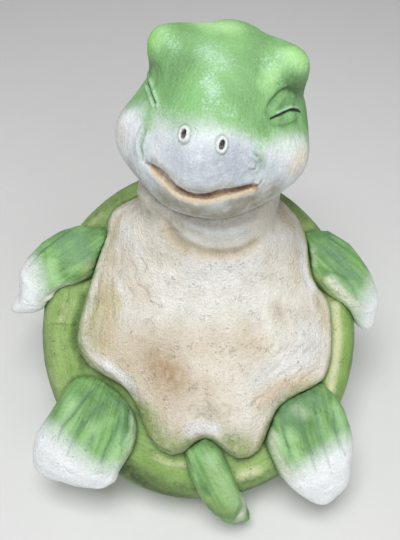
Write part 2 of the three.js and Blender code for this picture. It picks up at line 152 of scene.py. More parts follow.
TRACE_STEP = 1.0  # between points of a traced line, in picture points
EDGE_STEP = 6.0  # between points of a tip's edge, in picture points
RUB = 0.5  # share of the way to its neighbours' mean that a point moves at each rub
RUB_CORE = 1.6  # the larger, the wider the core of a softened band
TINY = 1e-9  # stands for a length of nothing where it divides
WELD = 1e-6  # points closer than this are one, in metres


def linear(colour):
    """Linear red, green, blue and alpha of an sRGB hex colour."""
    parts = [int(colour[i : i + 2], 16) / 255 for i in (0, 2, 4)]
    shares = [p / 12.92 if p <= 0.04045 else ((p + 0.055) / 1.055) ** 2.4 for p in parts]
    return (*shares, 1.0)


def add(tree, kind, links=None, **settings):
    """New node with its settings. A link is a socket to join to an input, or the input's value.

    An input goes by its name, or by its number where names repeat: 1 and 2 of a map range are the
    span that counts, 3 and 4 are what it gives, and 6 and 7 of a mix are its colours.
    """
    node = tree.nodes.new(kind)
    for name, value in settings.items():
        setattr(node, name, value)
    for place, value in (links or {}).items():
        if isinstance(value, bpy.types.NodeSocket):
            tree.links.new(value, node.inputs[place])
        else:
            node.inputs[place].default_value = value
    return node


def eased(share):
    """Soft step from 0 to 1."""
    share = np.clip(share, 0, 1)
    return share * share * (3 - 2 * share)


def sight(x, y):
    """Direction from the camera through a picture point, x to the right and y down."""
    right = (x - PICTURE_WIDTH / 2) / FOCAL_LENGTH
    down = (y - PICTURE_HEIGHT / 2) / FOCAL_LENGTH
    return (camera_ahead + Vector((right, 0, 0)) - camera_above * down).normalized()


def pictured(points):
    """Picture points of places."""
    rays = points - np.array(camera_place)
    depth = rays @ np.array(camera_ahead)
    right = FOCAL_LENGTH * rays[:, 0] / depth
    up = FOCAL_LENGTH * (rays @ np.array(camera_above)) / depth
    return np.column_stack([PICTURE_WIDTH / 2 + right, PICTURE_HEIGHT / 2 - up])


def flowing(marks, step):
    """Close points on a smooth curve through the marks."""
    marks = np.asarray(marks, float)
    if len(marks) == 1:
        return marks
    padded = np.vstack([2 * marks[0] - marks[1], marks, 2 * marks[-1] - marks[-2]])
    curve = []
    for a, b, c, d in zip(padded[:-3], padded[1:-2], padded[2:-1], padded[3:]):
        count = max(2, math.ceil(np.linalg.norm(c - b) / step))
        for t in np.arange(count) / count:
            curve.append(
                b
                + 0.5 * t * (c - a)
                + t * t * (a - 2.5 * b + 2 * c - 0.5 * d)
                + t * t * t * (1.5 * b - 1.5 * c + 0.5 * d - 0.5 * a)
            )
    curve.append(marks[-1])
    return np.array(curve)


def column(items, name, width):
    """One value of every item of a mesh, as rows of numbers."""
    values = np.empty(len(items) * width, np.int32 if name == "vertices" else np.float64)
    items.foreach_get(name, values)
    return values.reshape(-1, width)


def mesh_of(thing):
    """Plain mesh of an object with its modifiers."""
    ready = thing.evaluated_get(bpy.context.evaluated_depsgraph_get())
    return bpy.data.meshes.new_from_object(ready)


class Casting:
    """One moulded piece as a fine mesh, in millimetres, to be modelled and sprayed."""

    def __init__(self, node, fineness, rubbing):
        self.node = node
        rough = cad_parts[node].data.copy()
        welded = bmesh.new()
        welded.from_mesh(rough)
        bmesh.ops.remove_doubles(welded, verts=welded.verts, dist=WELD)
        welded.to_mesh(rough)
        welded.free()
        blank = bpy.data.objects.new("blank", rough)
        bpy.context.scene.collection.objects.link(blank)
        remesh = blank.modifiers.new("fine", "REMESH")
        remesh.mode = "VOXEL"
        remesh.voxel_size = fineness * MM
        rub = blank.modifiers.new("rubbed", "SMOOTH")
        rub.factor = RUB
        rub.iterations = rubbing
        self.mesh = mesh_of(blank)
        bpy.data.objects.remove(blank)
        self.points = column(self.mesh.vertices, "co", 3) / MM
        self.faces = [tuple(face.vertices) for face in self.mesh.polygons]
        self.coats = {}
        self.settle()
        self.brushing = np.zeros_like(self.points)

    def settle(self):
        """Takes the surface as it is now for the strokes that follow."""
        self.mesh.vertices.foreach_set("co", (self.points * MM).ravel())
        self.mesh.update()
        self.rest = self.points.copy()
        self.normals = column(self.mesh.vertex_normals, "vector", 3)
        self.skin = BVHTree.FromPolygons(self.rest.tolist(), self.faces)
        self.picture = pictured(self.rest)
        rays = self.rest - np.array(camera_place)
        self.seen = np.nonzero((rays * self.normals).sum(axis=1) < 0)[0]

    def trace(self, marks):
        """Line on the surface that the camera sees through picture points, or on its outline."""
        line = []
        for x, y in flowing(marks, TRACE_STEP):
            hit = self.skin.ray_cast(camera_place, sight(x, y))[0]
            if hit is None:
                away = np.linalg.norm(self.picture[self.seen] - (x, y), axis=1)
                hit = self.rest[self.seen[np.argmin(away)]]
            line.append(tuple(hit))
        return np.array(line)

    def twin(self, line):
        """The same line on the other side of the head, run the other way."""
        back = head_frame.inverted()
        places = []
        for point in reversed(line):
            place = back @ Vector(point)
            place.x = -place.x
            places.append(self.skin.find_nearest(head_frame @ place)[0])
        return np.array(places)

    def beside(self, line, reach):
        """Points within reach of a line, how far each lies to the right of its run, and how far along."""
        inside = np.all((self.rest > line.min(0) - reach) & (self.rest < line.max(0) + reach), axis=1)
        index = np.nonzero(inside)[0]
        spots = self.rest[index]
        least = np.linalg.norm(spots - line[0], axis=1)
        offset = least.copy()
        share = np.zeros(len(index))
        steps = np.linalg.norm(np.diff(line, axis=0), axis=1)
        begun = np.concatenate([[0], np.cumsum(steps)])
        for start, end, step, done in zip(line[:-1], line[1:], steps, begun):
            run = end - start
            part = np.clip((spots - start) @ run / max(step * step, TINY), 0, 1)
            gap = spots - start - part[:, None] * run
            away = np.linalg.norm(gap, axis=1)
            right = np.cross(run, self.normals[index])
            signed = np.where((gap * right).sum(axis=1) < 0, -away, away)
            nearer = away <= least
            least = np.where(nearer, away, least)
            offset = np.where(nearer, signed, offset)
            share = np.where(nearer, (done + part * step) / max(begun[-1], TINY), share)
        kept = least < reach
        return index[kept], offset[kept], share[kept]

    def press(self, line, reach, depth, strength=1.0):
        """Presses a rounded groove along a line, or raises a ridge where its depth is negative."""
        index, offset, _ = self.beside(line, reach)
        fall = (1 - (offset / reach) ** 2) ** 2
        self.points[index] -= self.normals[index] * (strength * depth * fall)[:, None]

    def carve(self, line, profile, fades, strength=1.0):
        """Cuts a profile of offsets and heights along a line. It fades in and out over shares of it."""
        offsets, heights = np.transpose(profile)
        index, offset, share = self.beside(line, max(-offsets[0], offsets[-1]))
        ends = eased(np.minimum(share / fades[0], (1 - share) / fades[1]))
        height = strength * np.interp(offset, offsets, heights) * ends
        self.points[index] += self.normals[index] * height[:, None]

    def soften(self, line, reach, rounds):
        """Rubs the surface near a line until what meets there flows together."""
        index, offset, _ = self.beside(line, reach)
        hold = np.zeros(len(self.points))
        hold[index] = RUB * eased(RUB_CORE - RUB_CORE * np.abs(offset) / reach)
        first, second = column(self.mesh.edges, "vertices", 2).T
        ends = np.concatenate([first, second])
        others = np.concatenate([second, first])
        worked = hold[ends] > 0
        ends = ends[worked]
        others = others[worked]
        count = np.maximum(np.bincount(ends, minlength=len(hold)), 1)
        for _ in range(rounds):
            sums = [np.bincount(ends, self.points[others, axis], len(hold)) for axis in range(3)]
            mean = np.transpose(sums) / count[:, None]
            self.points += hold[:, None] * (mean - self.points)
        self.settle()

    def past(self, marks):
        """How far each point lies past a picture line, on the right of its run."""
        line = flowing(marks, EDGE_STEP)
        least = np.full(len(self.picture), np.inf)
        offset = np.zeros(len(self.picture))
        for start, end in zip(line[:-1], line[1:]):
            run = end - start
            spots = self.picture - start
            part = np.clip(spots @ run / (run @ run), 0, 1)
            away = np.linalg.norm(spots - part[:, None] * run, axis=1)
            turn = run[0] * spots[:, 1] - run[1] * spots[:, 0]
            offset = np.where(away < least, np.sign(turn) * away, offset)
            least = np.minimum(least, away)
        return offset

    def coat(self, name):
        """How much of a coat of paint each point carries."""
        return self.coats.setdefault(name, np.zeros(len(self.points)))

    def spray(self, name, line, reach, strength=1.0, edge=1.0):
        """Sprays a line of paint whose cover falls off over a share of its reach."""
        index, offset, _ = self.beside(line, reach)
        cover = self.coat(name)
        fresh = strength * eased((1 - np.abs(offset) / reach) / edge)
        cover[index] = 1 - (1 - cover[index]) * (1 - fresh)

    def layer(self, name, cover):
        """Lays a coat over the whole piece, by a share for each point."""
        self.coats[name] = 1 - (1 - self.coat(name)) * (1 - np.clip(cover, 0, 1))

    def crevice(self, others, reach):
        """How close each point lies to other castings, from 0 at the reach to 1 where they touch."""
        close = np.zeros(len(self.rest))
        for other in others:
            low = other.rest.min(axis=0) - reach
            high = other.rest.max(axis=0) + reach
            for i in np.nonzero(np.all((self.rest > low) & (self.rest < high), axis=1))[0]:
                gap = other.skin.find_nearest(self.rest[i], reach)[3]
                if gap is not None:
                    close[i] = max(close[i], 1 - gap / reach)
        return eased(close)

    def score(self, marks, cut, coat, paint):
        """Presses a groove along picture points and sprays a line of paint along it."""
        line = self.trace(marks)
        self.press(line, *cut)
        self.spray(coat, line, *paint)

    def spray_all(self, sprays):
        """Sprays lines of paint: each is a coat, its picture points, its reach and its cover."""
        for name, marks, reach, strength in sprays:
            self.spray(name, self.trace(marks), reach, strength)

    def darken_near(self, name, others, reach, strength):
        """Lays a coat where the piece comes close to other castings, mostly painted shade in the joints."""
        self.layer(name, strength * self.crevice(others, reach))

    def within(self, place):
        """The points in another frame."""
        back = np.array(place.inverted())
        return self.rest @ back[:3, :3].T + back[:3, 3]

    def finish(self, finish, slot, relief):
        """Turns the casting into a finished piece that stands for its solid."""
        self.points[:, 2] = np.maximum(self.points[:, 2], 0)
        self.mesh.vertices.foreach_set("co", (self.points * MM).ravel())
        for name, cover in self.coats.items():
            paint = self.mesh.attributes.new(name, "FLOAT", "POINT")
            paint.data.foreach_set("value", np.clip(cover, 0, 1).astype(np.float32))
        brushing = self.mesh.attributes.new("brushing", "FLOAT_VECTOR", "POINT")
        brushing.data.foreach_set("vector", (self.brushing * MM).astype(np.float32).ravel())
        self.mesh.update()
        piece = bpy.data.objects.new("painted_" + self.node, self.mesh)
        bpy.context.scene.collection.objects.link(piece)
        skin = piece.modifiers.new("relief", "NODES")
        skin.node_group = cast_relief
        sizes = {name: value * MM for name, value in relief.items()}
        sizes["Seed"] = finish["seed"]
        sizes["Finish"] = finish
        for socket in cast_relief.interface.items_tree:
            if socket.in_out == "INPUT" and socket.name in sizes:
                skin[socket.identifier] = sizes[socket.name]
        plain = mesh_of(piece)
        piece.modifiers.remove(skin)
        piece.data = plain
        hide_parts(self.node)
        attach(piece, "root")


# Settings of the noise of lumps, brush strokes, cast grain and specks of paint
LUMP_NOISE = {"Detail": 4.0, "Roughness": 0.7}
STROKE_NOISE = {"Scale": 1.0, "Detail": 2.0, "Distortion": 0.5}
CAST_NOISE = {"Detail": 4.0, "Roughness": 0.62}
SPECK_NOISE = {"Detail": 3.0, "Roughness": 0.65}
NOISE_MIDDLE = 0.5
TIP_BRUSHING = 0.2  # height of the brush ridges on white tips, as a share
POCK_FLOOR = 0.05  # radii inside a pock's cell, as shares of the spacing
POCK_RIM = 0.3
POCK_DRAW = 0.55  # a cell has a pock when its draw is above this
FLOOR_CLEARANCE = 3 * MM


def make_cast_relief():
    """Geometry tree that gives a surface the lumps, brush ridges and small pocks of cast resin.

    The brush ridges are low on white tips, and all of it fades out at the floor, so that the
    base stays flat.
    """
    tree = bpy.data.node_groups.new("cast_relief", "GeometryNodeTree")
    tree.interface.new_socket("Geometry", in_out="INPUT", socket_type="NodeSocketGeometry")
    sizes = ("Lump Size", "Lump Height", "Stroke Width", "Stroke Length", "Stroke Height", "Pock Spacing")
    for name in (*sizes, "Pock Depth", "Seed"):
        tree.interface.new_socket(name, in_out="INPUT", socket_type="NodeSocketFloat")
    tree.interface.new_socket("Finish", in_out="INPUT", socket_type="NodeSocketMaterial")
    tree.interface.new_socket("Geometry", in_out="OUTPUT", socket_type="NodeSocketGeometry")
    given = add(tree, "NodeGroupInput").outputs
    place = add(tree, "GeometryNodeInputPosition").outputs[0]
    outward = add(tree, "GeometryNodeInputNormal").outputs[0]
    lump_scale = add(tree, "ShaderNodeMath", {0: 1.0, 1: given["Lump Size"]}, operation="DIVIDE")
    lumps = add(
        tree,
        "ShaderNodeTexNoise",
        {"Vector": place, "W": given["Seed"], "Scale": lump_scale.outputs[0], **LUMP_NOISE},
        noise_dimensions="4D",
    )
    swell = add(tree, "ShaderNodeMath", {0: lumps.outputs[0], 1: NOISE_MIDDLE}, operation="SUBTRACT")
    rise = add(tree, "ShaderNodeMath", {0: swell.outputs[0], 1: given["Lump Height"]}, operation="MULTIPLY")
    brushing = add(tree, "GeometryNodeInputNamedAttribute", {"Name": "brushing"}, data_type="FLOAT_VECTOR")
    stroke_size = add(
        tree, "ShaderNodeCombineXYZ", {0: given["Stroke Width"], 1: given["Stroke Length"], 2: 1.0}
    )
    stroke_place = add(
        tree, "ShaderNodeVectorMath", {0: brushing.outputs[0], 1: stroke_size.outputs[0]}, operation="DIVIDE"
    )
    strokes = add(
        tree,
        "ShaderNodeTexNoise",
        {"Vector": stroke_place.outputs[0], "W": given["Seed"], **STROKE_NOISE},
        noise_dimensions="4D",
    )
    groove = add(tree, "ShaderNodeMath", {0: strokes.outputs[0], 1: NOISE_MIDDLE}, operation="SUBTRACT")
    tip = add(tree, "GeometryNodeInputNamedAttribute", {"Name": "tip"}, data_type="FLOAT")
    brushed = add(
        tree, "ShaderNodeMapRange", {"Value": tip.outputs[0], 1: 0.0, 2: 1.0, 3: 1.0, 4: TIP_BRUSHING}
    )
    high = add(
        tree, "ShaderNodeMath", {0: brushed.outputs[0], 1: given["Stroke Height"]}, operation="MULTIPLY"
    )
    ridge = add(tree, "ShaderNodeMath", {0: groove.outputs[0], 1: high.outputs[0]}, operation="MULTIPLY")
    pock_scale = add(tree, "ShaderNodeMath", {0: 1.0, 1: given["Pock Spacing"]}, operation="DIVIDE")
    cells = add(
        tree,
        "ShaderNodeTexVoronoi",
        {"Vector": place, "W": given["Seed"], "Scale": pock_scale.outputs[0]},
        voronoi_dimensions="4D",
    )
    bowl = add(
        tree,
        "ShaderNodeMapRange",
        {"Value": cells.outputs[0], 1: POCK_FLOOR, 2: POCK_RIM, 3: 1.0, 4: 0.0},
    )
    chosen = add(tree, "FunctionNodeSeparateColor", {0: cells.outputs["Color"]})
    some = add(tree, "ShaderNodeMath", {0: chosen.outputs[0], 1: POCK_DRAW}, operation="GREATER_THAN")
    kept = add(tree, "ShaderNodeMath", {0: bowl.outputs[0], 1: some.outputs[0]}, operation="MULTIPLY")
    sink = add(tree, "ShaderNodeMath", {0: kept.outputs[0], 1: given["Pock Depth"]}, operation="MULTIPLY")
    raised = add(tree, "ShaderNodeMath", {0: rise.outputs[0], 1: ridge.outputs[0]}, operation="ADD")
    shift = add(tree, "ShaderNodeMath", {0: raised.outputs[0], 1: sink.outputs[0]}, operation="SUBTRACT")
    level = add(tree, "ShaderNodeSeparateXYZ", {0: place})
    clear = add(
        tree,
        "ShaderNodeMapRange",
        {"Value": level.outputs[2], 1: 0.0, 2: FLOOR_CLEARANCE, 3: 0.0, 4: 1.0},
    )
    lift = add(tree, "ShaderNodeMath", {0: shift.outputs[0], 1: clear.outputs[0]}, operation="MULTIPLY")
    offset = add(tree, "ShaderNodeVectorMath", {0: outward, "Scale": lift.outputs[0]}, operation="SCALE")
    moved = add(
        tree, "GeometryNodeSetPosition", {"Geometry": given["Geometry"], "Offset": offset.outputs[0]}
    )
    smooth = add(tree, "GeometryNodeSetShadeSmooth", {0: moved.outputs[0]})
    real = add(tree, "GeometryNodeRealizeInstances", {0: smooth.outputs[0]})
    painted = add(
        tree, "GeometryNodeSetMaterial", {"Geometry": real.outputs[0], "Material": given["Finish"]}
    )
    add(tree, "NodeGroupOutput", {0: painted.outputs[0]})
    return tree


cast_relief = make_cast_relief()

# How a coat breaks up: how far its grain reaches into its edge, and how soft the grain is
MANNERS = {"broken": (0.7, 0.9), "mist": (0.3, 1.0), "specks": (1.4, 0.5), "streaks": (1.2, 0.6)}
# Sizes of the cast skin's patterns, in millimetres
CLOUD_SIZE = 26
CLUMP_SIZE = 9
GRAIN_SIZE = 1.9
PINHOLE = 1.2  # real pinholes are finer, and are drawn this coarse so that they show
# Spans of the noise over which an effect comes in. A hairline goes out over its own.
CLOUD_LOW = 0.35
CLOUD_HIGH = 0.7
GRAIN_LOW = 0.3
GRAIN_HIGH = 0.7
STREAK_LOW = 0.3
STREAK_HIGH = 0.68
WASH_LOW = 0.32
WASH_HIGH = 0.62
CROWD_LOW = 0.44
CROWD_HIGH = 0.66
PIT_LOW = 0.72
PIT_HIGH = 0.8
HAIR_CORE = 0.004
HAIR_EDGE = 0.02
HAIR_GAP_LOW = 0.42
HAIR_GAP_HIGH = 0.6
# What they give: cover, brightness, darkness and gloss
THIN_WASH = 0.6
THICK_WASH = 1.1
FULL_COVER = 0.3  # from this cover on, a coat that breaks up counts in full
STREAK_LIGHT = 0.4  # how much a streak lightens for each share that it darkens
CLOUD_LIGHT = 1.04
CLOUD_DARK = 0.94
GRAIN_DARK = 0.91
GRAIN_LIGHT = 1.09
CLUMP_HEIGHT = 2.0
FEW_PITS = -0.1
MANY_PITS = 0.2
PIT_DARKNESS = 0.34
BUMP_STRENGTH = 0.7
GLOSSIER = 0.08
DULLER = 0.12
SEALER_IOR = 1.47
SEALER_SHINE = 0.4


def lay_coats(tree, colour, coats, place, strokes):
    """Lays coats of paint over a colour. A spray breaks into specks, a wash thins and thickens."""
    for coat, paint, speck, manner in coats:
        cover = add(tree, "ShaderNodeAttribute", attribute_name=coat).outputs["Fac"]
        specks = add(
            tree,
            "ShaderNodeTexNoise",
            {"Vector": place, "Scale": 1 / (speck * MM), **SPECK_NOISE},
        ).outputs[0]
        if manner in MANNERS:
            spread, soft = MANNERS[manner]
            middle = NOISE_MIDDLE + spread / 2
            ragged = add(
                tree,
                "ShaderNodeMath",
                {0: strokes if manner == "streaks" else specks, 1: spread, 2: cover},
                operation="MULTIPLY_ADD",
            )
            thick = add(
                tree,
                "ShaderNodeMapRange",
                {"Value": ragged.outputs[0], 1: middle - soft / 2, 2: middle + soft / 2, 3: 0.0, 4: 1.0},
            )
            full = {"Value": cover, 1: 0.0, 2: FULL_COVER, 3: 0.0, 4: 1.0}
            cover = add(tree, "ShaderNodeMapRange", full).outputs[0]
        else:
            thick = add(
                tree,
                "ShaderNodeMapRange",
                {"Value": specks, 1: WASH_LOW, 2: WASH_HIGH, 3: THIN_WASH, 4: THICK_WASH},
            )
        share = add(
            tree,
            "ShaderNodeMath",
            {0: thick.outputs[0], 1: cover},
            operation="MULTIPLY",
            use_clamp=True,
        )
        colour = add(
            tree, "ShaderNodeMix", {0: share.outputs[0], 6: colour, 7: linear(paint)}, data_type="RGBA"
        ).outputs[2]
    return colour


def prick_pinholes(tree, colour, height, place, clumps, pitted):
    """Colour and height with dark pinholes, which crowd where the clumps are."""
    holes = add(
        tree, "ShaderNodeTexNoise", {"Vector": place, "Scale": 1 / (PINHOLE * MM), "Detail": 1.0}
    )
    crowd = add(
        tree,
        "ShaderNodeMapRange",
        {"Value": clumps, 1: CROWD_LOW, 2: CROWD_HIGH, 3: FEW_PITS, 4: MANY_PITS * pitted},
    )
    low = add(tree, "ShaderNodeMath", {0: holes.outputs[0], 1: crowd.outputs[0]}, operation="ADD")
    pit = add(
        tree, "ShaderNodeMapRange", {"Value": low.outputs[0], 1: PIT_LOW, 2: PIT_HIGH, 3: 0.0, 4: 1.0}
    )
    dark = add(tree, "ShaderNodeMath", {0: pit.outputs[0], 1: PIT_DARKNESS}, operation="MULTIPLY")
    colour = add(
        tree, "ShaderNodeMix", {0: dark.outputs[0], 6: colour, 7: linear(PIT_GREY)}, data_type="RGBA"
    ).outputs[2]
    sunk = add(tree, "ShaderNodeMath", {0: height, 1: pit.outputs[0]}, operation="SUBTRACT")
    return colour, sunk.outputs[0]


def draw_hairlines(tree, colour, height, clumps, grain, hairlines):
    """Colour and height with hairlines, which follow the middle level of the clumps, with gaps."""
    level = add(tree, "ShaderNodeMath", {0: clumps, 1: NOISE_MIDDLE}, operation="SUBTRACT")
    off = add(tree, "ShaderNodeMath", {0: level.outputs[0]}, operation="ABSOLUTE")
    thread = add(
        tree, "ShaderNodeMapRange", {"Value": off.outputs[0], 1: HAIR_CORE, 2: HAIR_EDGE, 3: 1.0, 4: 0.0}
    )
    gaps = add(
        tree,
        "ShaderNodeMapRange",
        {"Value": grain, 1: HAIR_GAP_LOW, 2: HAIR_GAP_HIGH, 3: 0.0, 4: hairlines},
    )
    line = add(tree, "ShaderNodeMath", {0: thread.outputs[0], 1: gaps.outputs[0]}, operation="MULTIPLY")
    colour = add(
        tree, "ShaderNodeMix", {0: line.outputs[0], 6: colour, 7: linear(PIT_GREY)}, data_type="RGBA"
    ).outputs[2]
    sunk = add(tree, "ShaderNodeMath", {0: height, 1: line.outputs[0]}, operation="SUBTRACT")
    return colour, sunk.outputs[0]


def sprayed_resin(name, ground, shade, coats, gloss, rough, stroke, seed, pitted, hairlines):
    """Cast stone resin under matt acrylic that is sprayed and brushed on in thin coats.

    The cast skin has a fine grain, pinholes and hairlines, the brush leaves streaks, the edge of
    a spray breaks into specks, and the thin sealer shines unevenly. A coat is an attribute of the
    piece, its colour, the size of its specks in millimetres and its manner. A stroke is its width
    and length in millimetres and how much it darkens. Rough is the height of the skin's relief in
    millimetres and the shares of the grain and of the brush in it.
    """
    finish = bpy.data.materials.new(name)
    finish.use_nodes = True
    finish["seed"] = seed
    tree = finish.node_tree
    tree.nodes.clear()
    place = add(tree, "ShaderNodeTexCoord").outputs["Object"]
    clouds, clumps, grain = [
        add(
            tree,
            "ShaderNodeTexNoise",
            {"Vector": place, "Scale": 1 / (size * MM), **CAST_NOISE},
        ).outputs[0]
        for size in (CLOUD_SIZE, CLUMP_SIZE, GRAIN_SIZE)
    ]
    stroke_width, stroke_length, stroke_dark = stroke
    relief_height, grained, brushed = rough
    brushing = add(tree, "ShaderNodeAttribute", attribute_name="brushing").outputs["Vector"]
    stroke_place = add(
        tree,
        "ShaderNodeVectorMath",
        {0: brushing, 1: (1 / (stroke_width * MM), 1 / (stroke_length * MM), 1.0)},
        operation="MULTIPLY",
    )
    strokes = add(
        tree,
        "ShaderNodeTexNoise",
        {"Vector": stroke_place.outputs[0], "W": seed, **STROKE_NOISE},
        noise_dimensions="4D",
    ).outputs[0]
    cloud_edge = add(
        tree, "ShaderNodeMapRange", {"Value": clouds, 1: CLOUD_LOW, 2: CLOUD_HIGH, 3: 0.0, 4: 1.0}
    )
    bare = add(
        tree,
        "ShaderNodeMix",
        {0: cloud_edge.outputs[0], 6: linear(ground), 7: linear(shade)},
        data_type="RGBA",
    )
    streak_dark = 1 - stroke_dark
    streak_light = 1 + STREAK_LIGHT * stroke_dark
    streak = add(
        tree,
        "ShaderNodeMapRange",
        {"Value": strokes, 1: STREAK_LOW, 2: STREAK_HIGH, 3: streak_dark, 4: streak_light},
    )
    colour = add(
        tree, "ShaderNodeHueSaturation", {"Value": streak.outputs[0], "Color": bare.outputs[2]}
    ).outputs[0]
    colour = lay_coats(tree, colour, coats, place, strokes)
    patch = add(
        tree,
        "ShaderNodeMapRange",
        {"Value": clouds, 1: CLOUD_LOW, 2: CLOUD_HIGH, 3: CLOUD_LIGHT, 4: CLOUD_DARK},
    )
    fleck = add(
        tree,
        "ShaderNodeMapRange",
        {"Value": grain, 1: GRAIN_LOW, 2: GRAIN_HIGH, 3: GRAIN_DARK, 4: GRAIN_LIGHT},
    )
    tone = add(
        tree, "ShaderNodeMath", {0: patch.outputs[0], 1: fleck.outputs[0]}, operation="MULTIPLY"
    )
    colour = add(tree, "ShaderNodeHueSaturation", {"Value": tone.outputs[0], "Color": colour}).outputs[0]
    graining = add(tree, "ShaderNodeMath", {0: grain, 1: grained}, operation="MULTIPLY").outputs[0]
    ridges = add(
        tree, "ShaderNodeMath", {0: strokes, 1: brushed, 2: graining}, operation="MULTIPLY_ADD"
    ).outputs[0]
    height = add(
        tree, "ShaderNodeMath", {0: clumps, 1: CLUMP_HEIGHT, 2: ridges}, operation="MULTIPLY_ADD"
    ).outputs[0]
    colour, height = prick_pinholes(tree, colour, height, place, clumps, pitted)
    colour, height = draw_hairlines(tree, colour, height, clumps, grain, hairlines)
    uneven = add(
        tree,
        "ShaderNodeBump",
        {"Strength": BUMP_STRENGTH, "Distance": relief_height * MM, "Height": height},
    )
    satin = add(
        tree,
        "ShaderNodeMapRange",
        {"Value": grain, 1: GRAIN_LOW, 2: GRAIN_HIGH, 3: gloss - GLOSSIER, 4: gloss + DULLER},
    )
    skin = add(
        tree,
        "ShaderNodeBsdfPrincipled",
        {
            "Base Color": colour,
            "Roughness": satin.outputs[0],
            "Normal": uneven.outputs[0],
            "IOR": SEALER_IOR,
            "Specular IOR Level": SEALER_SHINE,
        },
    )
    add(tree, "ShaderNodeOutputMaterial", {0: skin.outputs[0]})
    return finish


# All castings, each with the fineness of its mesh in millimetres and how often it is rubbed
BODY_MESHES = {"head": (1.0, 24), "plastron": (1.45, 16), "carapace": (2.4, 18)}
LIMB_MESH = (0.9, 24)
LIMBS = ("left_hind_leg", "right_hind_leg", "left_foreleg", "right_foreleg", "tail")
castings = {node: Casting(node, *mesh) for node, mesh in BODY_MESHES.items()}
castings.update({node: Casting(node, *LIMB_MESH) for node in LIMBS})
limbs = [castings[node] for node in LIMBS]

# Head: picture lines of the face. A cut gives offsets below its line and heights.

MOUTH_UPPER = [
    (146, 161), (162, 171), (174, 183), (185, 191), (194, 194), (205, 194), (216, 191), (234, 188),
    (256, 184),
]
MOUTH_CORNER = [(152, 168), (160, 175), (172, 187)]
MOUTH_MIDDLE = [(172, 187), (184, 195), (195, 198), (207, 198), (222, 194), (254, 187.5)]
MOUTH_LOWER = [
    (151, 170), (157, 176.5), (169, 189), (182, 197.5), (196, 201.5), (208, 201.5), (228, 196.5),
    (254, 190.5),
]
MOUTH_CUT = [
    (-8, 0), (-3, 0.3), (-0.6, 0.3), (0.5, -3.2), (1.8, -3.0), (5.6, -0.2), (7.2, 0.7), (9, 0.4),
    (12, 0),
]
MOUTH_ENDS = (0.2, 0.06)  # shares of a line over which its cut fades in and out
MOUTH_SHADE_SHIFT = (0.3, 1.2)  # right and down, in picture points
EYE_LINES = {
    "slit": [(270.5, 118.7), (277.5, 115), (285, 111.7), (290, 109.8), (296, 109.6), (300, 112)],
    "lid_edge": [(275, 114), (280, 111.4), (286, 108.9), (291, 107.5), (298, 107.4)],
    "lid": [(275, 108), (282, 101), (290, 99)],
    "crease": [
        (266.5, 112), (267.5, 107), (270, 102), (276, 95), (282, 90), (287, 88), (293, 89.5),
        (298, 94),
    ],
    "pouch": [(277, 119), (286, 117.5), (295, 115.5)],
    "pouch_line": [(271, 124.5), (278, 126), (286, 125.5), (296, 121)],
}
FAR_EYE_SLIT = [(148, 82), (149, 85), (151, 90), (154.5, 100), (156, 103)]
FAR_EYE_STRENGTH = 0.15
SLIT_CUT = [(-3.5, 0), (-1.4, 0.8), (-0.4, 0.9), (0.2, -1.4), (0.9, -1.3), (2.4, 0.2), (5, 0)]
SLIT_ENDS = (0.1, 0.1)
CREASE_CUT = [(-5, 0), (-1.4, 0.4), (0, -1.3), (1.5, -0.6), (4.5, 0.5), (8, 0)]
CREASE_STRENGTH = 1.4
POUCH_CUT = [(-3, 0), (-1, 0.2), (0, -0.6), (1, 0.1), (3, 0)]
EYE_ENDS = (0.2, 0.2)
# Bulges and dips: how far each reaches from its line and how deep it is, in millimetres
LID_BULGE = (10, -2.4)
POUCH_BULGE = (6, -1.3)
FAR_LID_BULGE = (2.8, -0.9)
BROW_DEPTH = (11, 2.0)
RING_BULGE = (2.2, -1.3)
RING_GROOVE = (1.8, 0.5)
NOSTRIL_DEPTH = (2.8, 3.2)
# Lines of paint: how far each reaches, its cover, and the share of its reach that fades
EYE_INK = (1.05, 1.0, 0.6)
EYE_SHADOWS = [("crease", 4.5, 0.65), ("lid", 8, 0.25), ("pouch_line", 3, 0.4)]
EYE_CORNER = 4  # traced points of the slit that belong to its inner corner
EYE_CORNER_SHADOW = (5, 0.5)
# The lid gleams are painted highlights
LID_GLEAM = (1.6, 0.7)
FAR_LID_GLEAM = (1.8, 0.5)
# Painted shade round the nostril rings
RING_SHADE = (1.6, 0.5)
RING_PAINT = (2.1, 0.9, 0.7)
NOSTRIL_PAINT = (2.2, 1.0, 0.6)
# Painted shade along the face's folds
FOLD_SHADE = (3.5, 0.28)
CORNER_CLAY = (2.6, 1.0, 0.5)
MIDDLE_CLAY = (4.6, 1.0, 0.5)
UPPER_LIP_SHADOW = (2.2, 0.75)
LOWER_LIP_PAINT = (2.2, 0.95, 0.7)
